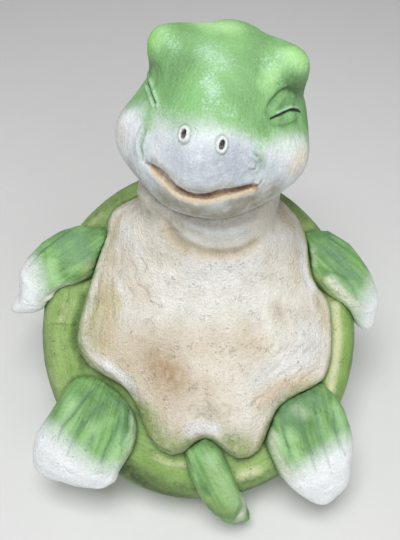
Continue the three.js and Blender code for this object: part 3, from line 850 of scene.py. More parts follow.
# Painted shadow where the chin comes close to the neck
CHIN_SHADOW = (7, 0.45)
FAR_LIDS = [[(148, 74), (152, 83), (156.5, 97), (158, 107)], [(146, 86), (149.5, 96), (153, 106)]]
BROW_DIP = [(283, 42), (274, 56), (266, 70)]
NOSTRILS = [(184, 134.3), (222, 145)]
NOSTRIL_LINE = [(0.6, -2.6), (0, 0), (-0.4, 2.2)]
NOSTRIL_RING = (4.0, 6.6)  # half width and half height in the picture
NOSTRIL_LEAN = (0.7, -1.0)  # drop of its right side, shift of its foot
GROOVE_SIZE = 1.5  # times the ring
OVAL_POINTS = 25
FOLD_ENDS = (0.25, 0.25)
FACE_FOLDS = [
    (
        [(147, 127), (143, 136), (140, 147), (143, 158)],
        [(-7, 0), (-3, 0.6), (0, -1.2), (3.5, 0.8), (8, 0)],
    ),
    ([(254, 153), (259, 158), (263, 167)], [(-5, 0), (-1.5, 0.8), (0, -1.4), (1.4, 0.3), (4, 0)]),
    (
        [(251, 159), (256, 163), (256, 169), (248, 170)],
        [(-4, 0), (-1.2, 0.5), (0, -1.2), (1.2, 0.5), (4, 0)],
    ),
    ([(254, 187), (259, 185), (263, 179)], [(-4, 0), (-1, 0.5), (0, -1.2), (1, 0.5), (4, 0)]),
]
HEAD_RADIUS = 62  # at which turns count as lengths for the brush
GREEN_LINE = -8  # height in the head where the green fades into white
GREEN_FADE = 32
GREEN_WAVES = 5
GREEN_WAVE_HEIGHT = 3
# Behind this turn from the face, in degrees, the green line drops to the neck
NAPE_TURN = 95
NAPE_FADE = 60
NAPE_DROP = 60
# Sprays: a coat, its picture points, its reach in millimetres and its cover. The moss, shade and
# jaw sprays are painted shade, and the white specks and haze on the forehead and brows are painted
# sheen.
HEAD_SPRAYS = [
    ("leaf", [(147, 118), (142, 133), (142, 150)], 8, 0.4),
    ("leaf", [(258, 150), (262, 164), (255, 172)], 8, 0.35),
    ("lime", [(150, 30), (149, 56)], 10, 0.8),
    ("spring", [(160, 30), (157, 44)], 13, 0.5),
    ("leaf", [(226, 116), (244, 123), (258, 130), (266, 134)], 13, 0.75),
    ("leaf", [(149, 110), (150, 128)], 9, 0.5),
    ("spring", [(291, 53), (303, 62)], 16, 0.75),
    ("lime", [(295, 49), (303, 58)], 10, 0.45),
    ("spring", [(198, 22), (228, 26)], 20, 0.9),
    ("spring", [(273, 70), (264, 84)], 12, 0.5),
    ("moss_shade", [(240, 104), (256, 122)], 13, 0.22),
    ("moss_shade", [(184, 26), (188, 46), (178, 66)], 17, 0.35),
    ("moss_shade", [(176, 66), (172, 88)], 22, 0.3),
    ("moss_shade", [(262, 38), (258, 54)], 15, 0.35),
    ("moss_shade", [(244, 62), (248, 90)], 20, 0.25),
    ("moss_shade", [(196, 62), (204, 70)], 12, 0.15),
    ("moss_shade", [(222, 84), (228, 92)], 10, 0.18),
    ("moss_shade", [(164, 52), (160, 66)], 9, 0.25),
    ("moss_shade", [(150, 62), (150, 78)], 9, 0.4),
    ("moss_shade", [(290, 82), (304, 90)], 12, 0.85),
    ("moss_shade", [(306, 100), (306, 122)], 10, 0.4),
    ("moss_shade", [(266, 120), (264, 128)], 9, 0.3),
    ("sheen_specks", [(206, 50), (220, 60)], 18, 0.26),
    ("sheen_specks", [(206, 80), (214, 92)], 13, 0.34),
    ("sheen_specks", [(168, 38), (174, 46)], 11, 0.28),
    ("sheen_specks", [(268, 62), (282, 52)], 14, 0.28),
    ("sheen_specks", [(205, 106), (231, 112)], 12, 0.26),
    ("sheen_specks", [(196, 30), (240, 74)], 60, 0.1),
    ("sheen_haze", [(206, 50), (220, 60)], 14, 0.2),
    ("sheen_haze", [(209, 84), (213, 90)], 9, 0.25),
    ("blush", [(296, 168), (304, 156)], 14, 0.5),
    ("blush", [(119, 126), (122, 142)], 12, 0.3),
    ("jaw_shade", [(170, 202), (194, 212), (220, 216), (248, 208), (268, 196)], 22, 0.9),
    ("jaw_shade", [(150, 182), (160, 196)], 18, 0.2),
    ("jaw_shade", [(232, 202), (252, 197)], 9, 0.7),
    ("jaw_shade", [(132, 168), (140, 184)], 16, 0.4),
    ("leaf", [(264, 126), (282, 129), (300, 124)], 8, 0.5),
    ("shade", [(190, 162), (206, 174), (228, 172)], 30, 0.85),
    ("shade", [(234, 158), (240, 172)], 20, 0.8),
    ("shade", [(268, 172), (278, 180)], 18, 0.5),
    ("shade", [(146, 150), (152, 170)], 12, 0.35),
    ("shade", [(124, 138), (134, 150)], 16, 0.2),
    ("shade", [(160, 146), (170, 156)], 15, 0.08),
    ("jaw_shade", [(152, 160), (168, 172), (184, 184), (204, 189), (232, 184)], 5, 0.6),
    ("white", [(282, 148), (300, 143)], 16, 0.6),
    ("white", [(123, 120), (131, 113)], 9, 0.6),
    ("white", [(122, 118), (128, 132)], 14, 0.4),
    ("white", [(186, 150), (196, 156)], 8, 0.3),
]


def oval(place, grow):
    """Picture points of a leaning oval round a nostril."""
    wide, high = NOSTRIL_RING
    down, aside = NOSTRIL_LEAN
    return [
        (
            place[0] + grow * (wide * math.cos(turn) + aside * math.sin(turn)),
            place[1] + grow * (down * math.cos(turn) + high * math.sin(turn)),
        )
        for turn in np.linspace(0, 2 * math.pi, OVAL_POINTS)
    ]


head = castings["head"]
belly = castings["plastron"]
shell = castings["carapace"]
local = head.within(head_frame)
swing = np.arctan2(local[:, 0], local[:, 2])
head.brushing = np.column_stack([HEAD_RADIUS * swing, local[:, 1], np.zeros(len(local))])

head.carve(head.trace(MOUTH_UPPER), MOUTH_CUT, MOUTH_ENDS)
near_eye = {name: head.trace(marks) for name, marks in EYE_LINES.items()}
far_eye = {name: head.twin(line) for name, line in near_eye.items()}
far_eye["slit"] = head.trace(FAR_EYE_SLIT)
for eye, strength in ((near_eye, 1.0), (far_eye, FAR_EYE_STRENGTH)):
    head.press(eye["lid"], *LID_BULGE, strength)
    head.press(eye["pouch"], *POUCH_BULGE, strength)
    head.carve(eye["crease"], CREASE_CUT, EYE_ENDS, CREASE_STRENGTH * strength)
    head.carve(eye["slit"], SLIT_CUT, SLIT_ENDS)
    head.carve(eye["pouch_line"], POUCH_CUT, EYE_ENDS, strength)
    head.spray("ink", eye["slit"], *EYE_INK)
    # Painted shade in the crease, on the lid, along the pouch line and in the inner corner
    for name, reach, cover in EYE_SHADOWS:
        head.spray("moss_shade", eye[name], reach, cover * strength)
    reach, cover = EYE_CORNER_SHADOW
    head.spray("moss_shade", eye["slit"][:EYE_CORNER], reach, cover * strength)
    # Painted highlight along the lid's edge
    reach, cover = LID_GLEAM
    head.spray("gleam", eye["lid_edge"], reach, cover * strength)

# Painted highlights on the far eye's lids
for marks in FAR_LIDS:
    head.score(marks, FAR_LID_BULGE, "gleam", FAR_LID_GLEAM)
head.press(head.trace(BROW_DIP), *BROW_DEPTH)

for x, y in NOSTRILS:
    ring = head.trace(oval((x, y), 1.0))
    groove = head.trace(oval((x, y), GROOVE_SIZE))
    pit = head.trace([(x + right, y + down) for right, down in NOSTRIL_LINE])
    head.press(ring, *RING_BULGE)
    head.press(groove, *RING_GROOVE)
    head.press(pit, *NOSTRIL_DEPTH)
    # Painted shade in the groove round the ring
    head.spray("moss_shade", groove, *RING_SHADE)
    head.spray("ring", ring, *RING_PAINT)
    head.spray("pit", pit, *NOSTRIL_PAINT)

# Face folds with painted shade along them
for marks, profile in FACE_FOLDS:
    fold = head.trace(marks)
    head.carve(fold, profile, FOLD_ENDS)
    head.spray("moss_shade", fold, *FOLD_SHADE)

# Green comes from the crown down to a wavy line above the nostrils, and right round the back
face_turn = np.degrees(np.abs(swing))
green_wave = GREEN_WAVE_HEIGHT * np.sin(swing * GREEN_WAVES)
green_line = GREEN_LINE + green_wave - NAPE_DROP * eased((face_turn - NAPE_TURN) / NAPE_FADE)
head.layer("leaf", eased((local[:, 1] - green_line) / GREEN_FADE + 0.5))
head.spray_all(HEAD_SPRAYS)
head.spray("clay", head.trace(MOUTH_CORNER), *CORNER_CLAY)
head.spray("clay", head.trace(MOUTH_MIDDLE), *MIDDLE_CLAY)
# Painted shadow on the chin where it comes close to the neck
head.darken_near("dust_and_shade", [belly], *CHIN_SHADOW)
right, down = MOUTH_SHADE_SHIFT
head.spray("shadow", head.trace([(x + right, y + down) for x, y in MOUTH_UPPER]), *UPPER_LIP_SHADOW)
head.spray("lip", head.trace(MOUTH_LOWER), *LOWER_LIP_PAINT)

# Cool white with greens misted over it, satin, with lids, lips and nostrils drawn in by brush, painted
# shade in its creases, on the muzzle and under the chin, painted sheen on the forehead and painted
# highlights on the lid edges
head.finish(
    sprayed_resin(
        "sprayed_acrylic_on_cast_resin_head",
        COOL_WHITE,
        SHADE_WHITE,
        [
            ("leaf", LEAF_GREEN, 2.0, "broken"),
            ("spring", SPRING_GREEN, 2.4, "broken"),
            ("lime", BROW_LIME, 2.4, "broken"),
            ("shade", MUZZLE_SHADE_GREY, 5.0, "wash"),
            ("jaw_shade", JAW_SHADE_GREY, 9.0, "wash"),
            ("white", TIP_WHITE, 4.0, "wash"),
            ("blush", PEACH, 4.0, "wash"),
            ("moss_shade", MOSS_SHADE, 3.0, "wash"),
            ("sheen_haze", SHEEN_WHITE, 5.0, "wash"),
            ("sheen_specks", SHEEN_WHITE, 1.8, "specks"),
            ("gleam", SHEEN_WHITE, 2.0, "wash"),
            ("ring", RING_WHITE, 2.0, "wash"),
            ("clay", MOUTH_CLAY, 3.0, "wash"),
            ("lip", LIP_CREAM, 2.0, "wash"),
            ("shadow", MOUTH_SHADOW, 2.0, "wash"),
            ("pit", PIT_GREY, 2.0, "wash"),
            ("ink", INK, 2.0, "broken"),
            ("dust_and_shade", NECK_DUST_AND_SHADE, 3.0, "wash"),
        ],
        gloss=0.5,
        rough=(0.6, 1.7, 1.0),
        stroke=(2.4, 9, 0.05),
        seed=3.0,
        pitted=0.35,
        hairlines=0.16,
    ),
    "head_paint",
    {
        "Lump Size": 14,
        "Lump Height": 0.7,
        "Stroke Width": 2.4,
        "Stroke Length": 9,
        "Stroke Height": 0.3,
        "Pock Spacing": 9,
        "Pock Depth": 0.25,
    },
)

# Belly and neck


# A row of like strokes sways up and down, and its strokes differ in length
ROW_SWAY = (4, 2.4)  # in picture points, and how fast
ROW_LENGTHS = (0.8, 0.4, 1.7)  # mean share, its swing, and how fast


def hatched(first, step, run, count):
    """Picture lines of a row of like strokes."""
    sway, sway_rate = ROW_SWAY
    mean, swing, length_rate = ROW_LENGTHS
    rows = []
    for k in range(count):
        x = first[0] + k * step[0]
        y = first[1] + k * step[1] + sway * math.sin(sway_rate * k)
        part = mean + swing * math.sin(length_rate * k)
        rows.append([(x, y), (x + part * run[0], y + part * run[1])])
    return rows


# Folds and lumps of the neck: a line, its reach and its depth
NECK_FOLDS = [
    ([(164, 222), (172, 233), (183, 244), (205, 253), (226, 255), (244, 252), (258, 244)], 7, 2.8),
    ([(194, 236), (214, 242), (232, 241), (244, 236)], 6, 1.3),
    ([(172, 221), (186, 230), (200, 236)], 5, 1.0),
]
SEAM_LUMPS = [
    ([(141, 196), (146, 199)], 5, -1.2),
    ([(155, 203), (160, 205)], 4, -1.4),
    ([(166, 206), (170, 209)], 4, -1.0),
    ([(136, 190), (139, 193)], 4, -0.8),
]
BELLY_LIPS = [
    [
        (138, 202), (122, 209), (113, 217), (111, 230), (101, 258), (93, 286), (86, 316), (84, 338),
        (92, 357), (108, 368),
    ],
    [
        (108, 368), (124, 384), (138, 404), (147, 428), (160, 443), (174, 447), (188, 438),
        (204, 432), (220, 438),
    ],
    [(220, 438), (234, 450), (246, 452), (256, 443), (264, 423), (280, 404), (300, 391), (318, 380)],
    [
        (296, 216), (304, 236), (306, 256), (308, 275), (316, 289), (325, 301), (328, 320),
        (328, 350), (322, 376),
    ],
]
BELLY_CRACKS = [
    [(188, 412), (191, 406), (197, 407), (200, 414)],
    [(195, 420), (202, 415), (207, 420)],
    [(205, 400), (210, 405), (208, 413)],
    [(222, 404), (230, 408), (228, 418)],
    [(252, 404), (258, 398), (264, 397)],
    [(112, 296), (113, 306), (112, 318)],
    [(162, 232), (172, 230), (182, 233)],
    [(132, 262), (136, 270), (134, 278)],
    [(140, 258), (146, 266), (145, 272)],
    [(138, 284), (146, 290), (150, 298)],
    [(128, 288), (134, 294), (133, 300)],
]
# Rows of like strokes: first point, step to the next, run of each and their number
SCRATCHES = ((262, 372), (5.0, 0.8), (11, -8), 9)
WRINKLES = ((254, 356), (6.4, -0.6), (10, -9), 10)
BRISTLE_LINES = ((90, 296), (4.4, -5.0), (-4, 38), 8)
# The dust sprays round the chin and neck and the tan band in the neck's fold are painted shadow, the moss
# lines are painted shade in the joints, the broad white over the neck's lower roll is painted light, and the
# white lip sprays are painted highlights on the plate's edges. The other tan, brown, peach, straw and dust
# sprays are stains.
BELLY_SPRAYS = [
    ("brown", [(162, 366), (170, 376)], 24, 0.75),
    ("brown", [(158, 352), (168, 388)], 44, 0.3),
    ("tan", [(98, 340), (124, 337), (144, 336)], 20, 0.2),
    ("tan", [(116, 358), (132, 362)], 16, 0.4),
    ("tan", [(140, 352), (190, 350), (240, 346)], 40, 0.3),
    ("tan", [(246, 334), (256, 344)], 20, 0.35),
    ("tan", [(296, 258), (297, 280)], 15, 0.25),
    ("tan", [(282, 212), (296, 230)], 20, 0.4),
    ("tan", [(206, 398), (214, 410)], 32, 0.4),
    ("tan", [(276, 306), (280, 318)], 14, 0.35),
    ("tan", [(132, 284), (140, 296)], 18, 0.35),
    ("dust_and_shade", [(148, 212)], 8, 0.6),
    ("dust_and_shade", [(276, 308), (279, 314)], 9, 0.3),
    ("dust_and_shade", [(208, 408), (214, 411)], 10, 0.35),
    ("dust_and_shade", [(158, 214), (178, 226)], 12, 0.3),
    ("dust_and_shade", [(184, 216), (200, 223), (216, 226), (236, 223), (254, 216)], 7, 0.6),
    ("tan", [(166, 230), (178, 242), (196, 251), (216, 254), (238, 251), (252, 244)], 11, 0.6),
    ("dust_and_shade", [(172, 236), (182, 244), (198, 251), (216, 253), (236, 250)], 6, 0.25),
    ("dust_and_shade", [(152, 206), (160, 212)], 7, 0.3),
    ("peach", [(262, 400), (280, 388), (304, 381)], 16, 0.6),
    ("peach", [(164, 384), (158, 402)], 26, 0.35),
    ("peach", [(120, 372), (140, 384)], 16, 0.3),
    ("straw", [(112, 262), (100, 296), (90, 330)], 17, 0.6),
    ("straw", [(110, 300), (106, 340)], 24, 0.8),
    ("straw", [(118, 220), (108, 252)], 16, 0.5),
    ("straw", [(304, 224), (307, 250), (309, 274)], 12, 0.6),
    ("straw", [(318, 300), (328, 330)], 13, 0.6),
    ("straw", [(150, 420), (190, 436)], 20, 0.5),
    ("straw", [(240, 456), (256, 442)], 18, 0.55),
    ("olive", [(146, 416), (154, 436), (168, 448)], 21, 0.95),
    ("olive", [(168, 449), (186, 441)], 9, 0.8),
    ("moss_shade", [(140, 404), (147, 430), (160, 448), (176, 453), (188, 445)], 6, 0.4),
    ("moss_shade", [(224, 448), (233, 457), (244, 461), (254, 456), (263, 441)], 4, 0.2),
    ("olive", [(230, 442), (238, 445), (242, 456)], 18, 0.85),
    ("olive", [(132, 396), (142, 412), (146, 432)], 12, 0.7),
    ("olive", [(320, 382), (292, 396), (276, 414), (266, 438), (250, 456)], 9, 0.55),
    ("olive", [(311, 260), (313, 277), (320, 290), (330, 302), (334, 330), (332, 352), (327, 376)], 9, 0.6),
    ("olive", [(95, 272), (88, 290), (79, 320), (77, 338), (85, 360)], 11, 0.95),
    ("lip", [(107, 364), (119, 373), (130, 384)], 8, 0.8),
    ("lip", [(297, 228), (302, 250), (303, 270), (312, 288)], 9, 0.65),
    ("lip", [(192, 430), (204, 427), (215, 429)], 10, 0.85),
    ("white", [(120, 306), (160, 300), (220, 290), (260, 310)], 50, 0.35),
    ("white", [(264, 380), (300, 356), (312, 336)], 26, 0.6),
    ("white", [(196, 232), (236, 234)], 24, 0.9),
    ("white", [(266, 232), (292, 244)], 20, 0.3),
    ("white", [(196, 268), (250, 270)], 26, 0.3),
    ("white", [(124, 298), (118, 314)], 10, 0.4),
    ("white", [(127, 232), (138, 250)], 13, 0.4),
    ("olive", [(94, 304), (88, 326), (92, 346)], 17, 0.3),
    ("olive", [(84, 358), (98, 370), (118, 386)], 8, 0.8),
    ("moss_shade", [(80, 316), (77, 338), (85, 361), (100, 373)], 4, 0.5),
    ("white", [(102, 308), (101, 328)], 5, 0.6),
]
NECK_FOOT_RISE = 18
NECK_FOOT_POINTS = 41
NECK_BLEND = (26, 160)  # reach, and rounds of rubbing
# Presses: reach and depth. Lines of paint: reach and cover. The tan in the neck's folds is painted
# shadow.
LIP_BULGE = (6.5, -1.1)
FOLD_SHADOW_TAN = 0.25
CRACK_CUT = (1.8, 0.6)
CRACK_DUST = (1.5, 0.45)
SCRATCH_CUT = (2.6, 0.7)
SCRATCH_DUST = (1.8, 0.2)
BRISTLE_CUT = (2.8, 0.5)
BRISTLE_TAN = (2.4, 0.2)
# Olive beside the legs and shell, painted shade in the joints, and painted shadow on the throat under
# the head: how far off the other piece each begins, and its cover where they touch
JOINT_OLIVE = (12, 0.8)
JOINT_SHADE = (5, 0.45)
THROAT_SHADOW = (7, 0.3)

half_width, half_length = NECK_HALF
neck_foot = []
for turn in np.linspace(0, 2 * math.pi, NECK_FOOT_POINTS):
    outward = Vector((half_width * math.cos(turn), half_length * math.sin(turn), NECK_FOOT_RISE))
    neck_foot.append(belly.skin.find_nearest(body_frame @ (NECK_PLACE + outward))[0])
belly.soften(np.array(neck_foot), *NECK_BLEND)
belly.brushing = belly.within(body_frame)
for marks, reach, depth in NECK_FOLDS:
    belly.score(marks, (reach, depth), "tan", (reach, FOLD_SHADOW_TAN))
for marks, reach, depth in SEAM_LUMPS:
    belly.press(belly.trace(marks), reach, depth)
for marks in BELLY_LIPS:
    belly.press(belly.trace(marks), *LIP_BULGE)
for marks in BELLY_CRACKS:
    belly.score(marks, CRACK_CUT, "dust_and_shade", CRACK_DUST)
for marks in hatched(*SCRATCHES) + hatched(*WRINKLES):
    belly.score(marks, SCRATCH_CUT, "dust_and_shade", SCRATCH_DUST)
for marks in hatched(*BRISTLE_LINES):
    belly.score(marks, BRISTLE_CUT, "tan", BRISTLE_TAN)
belly.spray_all(BELLY_SPRAYS)
belly.darken_near("olive", [*limbs, shell], *JOINT_OLIVE)
belly.darken_near("moss_shade", [*limbs, shell], *JOINT_SHADE)
belly.darken_near("dust_and_shade", [head], *THROAT_SHADOW)

# Chalky ivory stucco, dull, with tan, brown and peach stains, painted shadow in the neck's folds, in
# the joints and under the chin, and painted highlights and light on its edges and the neck's lower roll
belly.finish(
    sprayed_resin(
        "stained_ivory_acrylic_with_painted_shade_on_cast_resin",
        IVORY,
        IVORY_SHADE,
        [
            ("white", TIP_WHITE, 5.0, "wash"),
            ("straw", STRAW, 4.0, "streaks"),
            ("peach", PEACH, 6.0, "wash"),
            ("tan", TAN, 7.0, "wash"),
            ("brown", BROWN, 6.0, "wash"),
            ("dust_and_shade", NECK_DUST_AND_SHADE, 4.0, "wash"),
            ("olive", OLIVE, 5.0, "wash"),
            ("lip", TIP_WHITE, 4.0, "wash"),
            ("moss_shade", SHELL_MOSS_SHADE, 3.0, "wash"),
        ],
        gloss=0.6,
        rough=(1.3, 2.9, 0.4),
        stroke=(3.0, 26, 0.05),
        seed=7.0,
        pitted=1.0,
        hairlines=0.25,
    ),
    "belly_paint",
    {
        "Lump Size": 15,
        "Lump Height": 2.8,
        "Stroke Width": 3.0,
        "Stroke Length": 26,
        "Stroke Height": 0.4,
        "Pock Spacing": 5.5,
        "Pock Depth": 0.8,
    },
)

# Legs and tail, with toe lines cut in and white tips. The fan is the picture point that a limb's
# brush strokes run from, the seam shade is how dark the painted shade gets beside the belly, and
# the tip's edge has the white on the right of its run.

TOE_CUT = [(-7, 0), (-3, 0.8), (-0.6, -1.2), (0.4, -1.6), (3, -0.4), (7, 0)]
TOE_ENDS = (0.35, 0.35)
# Dark lines and painted shade in the toe lines and cracks: reach and cover. A crack: reach and depth.
TOE_DEEP = (1.9, 0.3)
TOE_SHADE = (6, 0.45)
TIP_CRACK = (1.6, 0.5)
TIP_CRACK_SHADE = (1.5, 0.35)
SEAM_REACH = 9
RIM_REACH = 5
# Painted shade beside the shell
RIM_SHADE_SHARE = 0.6  # as a share of the seam beside the belly
STROKE_LAYER = 4  # the strokes change with a quarter of the height
TIP_FADE = 36  # in picture points
# In the washes, moss, dusk and deep are painted shade: beside the belly and shell, on the leg tops, in the
# valleys between the toes and in the tail's notch.
LIMB_LOOKS = {
    "left_hind_leg": {
        "fan": (146, 292),
        "seam_shade": 0.5,
        "toes": [
            [(98, 386), (86, 396), (72, 414), (62, 427), (58, 440)],
            [(103, 404), (94, 411), (82, 425), (73, 439), (67, 455)],
            [(93, 436), (90, 443), (86, 451)],
            [(119, 402), (120, 420), (114, 437), (105, 452), (101, 462)],
            [(129, 408), (129, 428), (121, 444)],
        ],
        "cracks": [[(64, 468), (70, 474), (79, 473)], [(58, 480), (72, 484)], [(92, 476), (104, 474)]],
        "tip_edge": [(36, 413), (56, 431), (72, 447), (88, 460), (104, 467), (124, 467)],
        "washes": [
            ("spring", [(71, 406), (60, 430)], 15, 0.95),
            ("spring", [(94, 426), (91, 436), (86, 450)], 9, 0.65),
            ("spring", [(113, 460), (119, 446), (128, 438)], 11, 0.9),
            ("spring", [(112, 420), (106, 424)], 8, 0.3),
            ("moss_shade", [(88, 396), (98, 404), (108, 398)], 14, 0.5),
            ("dusk_shade", [(116, 400), (128, 412), (124, 426)], 10, 0.55),
            ("moss_shade", [(100, 412), (96, 420)], 9, 0.35),
            ("deep_shade", [(112, 384), (128, 396), (138, 412)], 5, 0.2),
            ("cream", [(130, 402), (134, 420), (133, 438), (126, 458)], 7, 0.5),
        ],
    },
    "right_hind_leg": {
        "fan": (383, 654),
        "seam_shade": 0.7,
        "toes": [
            [(298, 408), (301, 427), (308, 447), (316, 471)],
            [(314, 403), (318, 427), (324, 447), (330, 467)],
            [(333, 412), (338, 432), (345, 455)],
            [(281, 424), (284, 438), (290, 456)],
        ],
        "cracks": [[(318, 486), (326, 490), (332, 486)], [(282, 470), (290, 476)]],
        "tip_edge": [(268, 472), (290, 472), (308, 463), (320, 454), (334, 445), (348, 438), (362, 424)],
        "washes": [
            ("spring", [(336, 408), (343, 434)], 11, 0.95),
            ("spring", [(320, 420), (328, 438)], 9, 0.5),
            ("spring", [(290, 436), (280, 444), (294, 456)], 12, 0.85),
            ("dusk_shade", [(288, 412), (300, 402), (318, 397)], 15, 0.7),
            ("moss_shade", [(296, 428), (306, 424)], 11, 0.45),
            ("moss_shade", [(284, 420), (292, 421)], 8, 0.5),
            ("cream", [(296, 409), (305, 414)], 8, 0.3),
            ("moss_shade", [(334, 422), (338, 430)], 7, 0.3),
            ("deep_shade", [(280, 412), (294, 400), (314, 392)], 6, 0.4),
            ("cream", [(271, 436), (275, 454), (286, 472)], 9, 0.75),
        ],
    },
    "left_foreleg": {
        "fan": (300, 110),
        "seam_shade": 0.5,
        "toes": [
            [(70, 231), (56, 239), (40, 252), (30, 266)],
            [(74, 284), (60, 290), (50, 295), (40, 301)],
        ],
        "cracks": [[(28, 306), (36, 307)], [(24, 300), (28, 303)]],
        "tip_edge": [(18, 246), (34, 260), (40, 276), (44, 290), (50, 304), (46, 318)],
        "washes": [
            ("spring", [(52, 264), (52, 272), (56, 281)], 10, 0.8),
            ("spring", [(72, 270), (84, 266)], 9, 0.4),
            ("dusk_shade", [(76, 236), (62, 240), (68, 256)], 14, 0.7),
            ("moss_shade", [(94, 232), (84, 242), (92, 252)], 14, 0.6),
            ("dusk_shade", [(82, 248), (88, 262)], 10, 0.8),
            ("cream", [(84, 280), (62, 293), (44, 303)], 8, 0.85),
            ("tan", [(90, 262), (84, 276)], 6, 0.35),
            ("deep_shade", [(86, 279), (80, 284)], 4, 0.6),
        ],
    },
    "right_foreleg": {
        "fan": (100, 40),
        "seam_shade": 0.15,
        "toes": [
            [(319, 244), (333, 255), (348, 271)],
            [(328, 271), (342, 277), (351, 286), (357, 299)],
            [(325, 234), (339, 242), (346, 250)],
        ],
        "cracks": [[(334, 290), (341, 297), (348, 300)]],
        "tip_edge": [(352, 327), (358, 310), (363, 300), (370, 286), (376, 270)],
        "washes": [
            ("dusk_shade", [(332, 250), (352, 276)], 12, 0.8),
            ("spring", [(350, 282), (357, 293)], 8, 0.6),
            ("cream", [(313, 250), (314, 266)], 5, 0.35),
            ("moss_shade", [(316, 236), (332, 236), (322, 252)], 13, 0.5),
            ("moss_shade", [(340, 266), (348, 274)], 8, 0.4),
            ("cream", [(330, 281), (342, 293), (357, 308)], 8, 1.0),
            ("tan", [(317, 276), (326, 289), (340, 303)], 5, 0.45),
        ],
    },
    "tail": {
        "fan": (80, 250),
        "seam_shade": 0.15,
        "toes": [[(244, 510), (240, 514), (235, 517)]],
        "cracks": [[(212, 470), (218, 476)], [(214, 484), (222, 488)]],
        "tip_edge": [],
        "washes": [
            ("spring", [(213, 460), (222, 482), (234, 504)], 12, 0.75),
            ("spring", [(226, 478), (238, 498)], 8, 0.5),
            ("moss_shade", [(196, 464), (201, 478), (207, 492)], 7, 0.3),
            ("moss_shade", [(205, 488), (207, 492)], 6, 0.6),
            ("lime", [(206, 498), (218, 510), (230, 513)], 10, 0.6),
            ("lime", [(214, 472), (230, 502)], 11, 0.3),
            ("spring", [(190, 452), (197, 478)], 6, 0.5),
            ("spring", [(226, 496), (236, 506)], 8, 0.6),
            ("cream", [(204, 454), (209, 464)], 6, 0.12),
            ("moss_shade", [(209, 506), (216, 514), (228, 517)], 7, 0.6),
            ("deep_shade", [(192, 447), (204, 443), (220, 446)], 5, 0.5),
            ("cream", [(242, 494), (245, 506), (241, 518)], 9, 0.85),
            ("cream", [(206, 512), (216, 519)], 5, 0.5),
            ("deep_shade", [(239, 506), (237, 510)], 2.5, 0.4),
        ],
    },
}



def make_limb(node, fan, seam_shade, toes, cracks, tip_edge, washes):
    """A leg or the tail, modelled and sprayed from its picture lines."""
    limb = castings[node]
    spokes = limb.picture - np.array(fan)
    distance = np.linalg.norm(spokes, axis=1)
    bearing = np.arctan2(spokes[:, 1], spokes[:, 0])
    layer = limb.rest[:, 2] / STROKE_LAYER
    limb.brushing = np.column_stack([bearing * distance.mean(), distance, layer])
    for marks in toes:
        toe = limb.trace(marks)
        limb.carve(toe, TOE_CUT, TOE_ENDS)
        limb.spray("deep_shade", toe, *TOE_DEEP)
        limb.spray("dusk_shade", toe, *TOE_SHADE)
    for marks in cracks:
        limb.score(marks, TIP_CRACK, "dusk_shade", TIP_CRACK_SHADE)
    if tip_edge:
        limb.layer("tip", eased(limb.past(tip_edge) / TIP_FADE + 0.5))
    limb.spray_all(washes)
    limb.darken_near("deep_shade", [belly], SEAM_REACH, seam_shade)
    limb.darken_near("deep_shade", [shell], RIM_REACH, RIM_SHADE_SHARE * seam_shade)
    limb.finish(
        leg_paint,
        "limb_paint",
        {
            "Lump Size": 13,
            "Lump Height": 0.9,
            "Stroke Width": 5,
            "Stroke Length": 44,
            "Stroke Height": 1.8,
            "Pock Spacing": 8,
            "Pock Depth": 0.3,
        },
    )


# Leaf green brushed lengthwise in streaks, satin, misted into white tips, with painted shade beside
# the belly and in the toe valleys
leg_paint = sprayed_resin(
    "brushed_acrylic_on_cast_resin_limbs",
    LEG_GREEN,
    LEG_SHADE,
    [
        ("spring", LEG_SPRING, 4.0, "mist"),
        ("lime", OLIVE, 3.0, "wash"),
        ("moss_shade", LEG_MOSS_SHADE, 3.0, "wash"),
        ("dusk_shade", DUSK_SHADE_GREEN, 3.0, "wash"),
        ("tip", TIP_WHITE, 3.0, "mist"),
        ("cream", PALE_CREAM, 3.0, "wash"),
        ("tan", TAN, 3.0, "wash"),
        ("deep_shade", DEEP_MOSS_SHADE, 3.0, "wash"),
    ],
    gloss=0.48,
    rough=(0.8, 1.8, 1.0),
    stroke=(3.2, 44, 0.3),
    seed=11.0,
    pitted=0.7,
    hairlines=0.12,
)
for node, look in LIMB_LOOKS.items():
    make_limb(node, **look)

# Shell: shield lines on its back, one under the rim's band and others from it down to the base

BAND_LINE = -46  # below the rim's crest
SHIELD_BACK = 90  # bearing of the back, in degrees
SHIELD_TURNS = (24, 62, 102, 142)  # shield edges, to both sides of the back
SHIELD_SIDE = 60  # turn within which a point can lie at a shield edge
FAR_OFF = 99  # beyond any groove
GROOVE_HALF = 6
GROOVE_DEPTH = 1.6
GROOVE_TOP = -20  # below the rim's crest
GROOVE_SHADE = 0.7
SHELL_RADIUS = 140  # at which turns count as lengths for the brush
# Painted shade that darkens the shell towards its foot, and lime on its crest: cover, height where
# it ends or begins, and fade
FOOT_SHADE = (0.6, 30, 40)
CREST_LIME = (0.35, -14, 12)
# Painted shade where the belly and legs come close to the shell: reach and cover
RIM_SHADE = (5, 0.75)
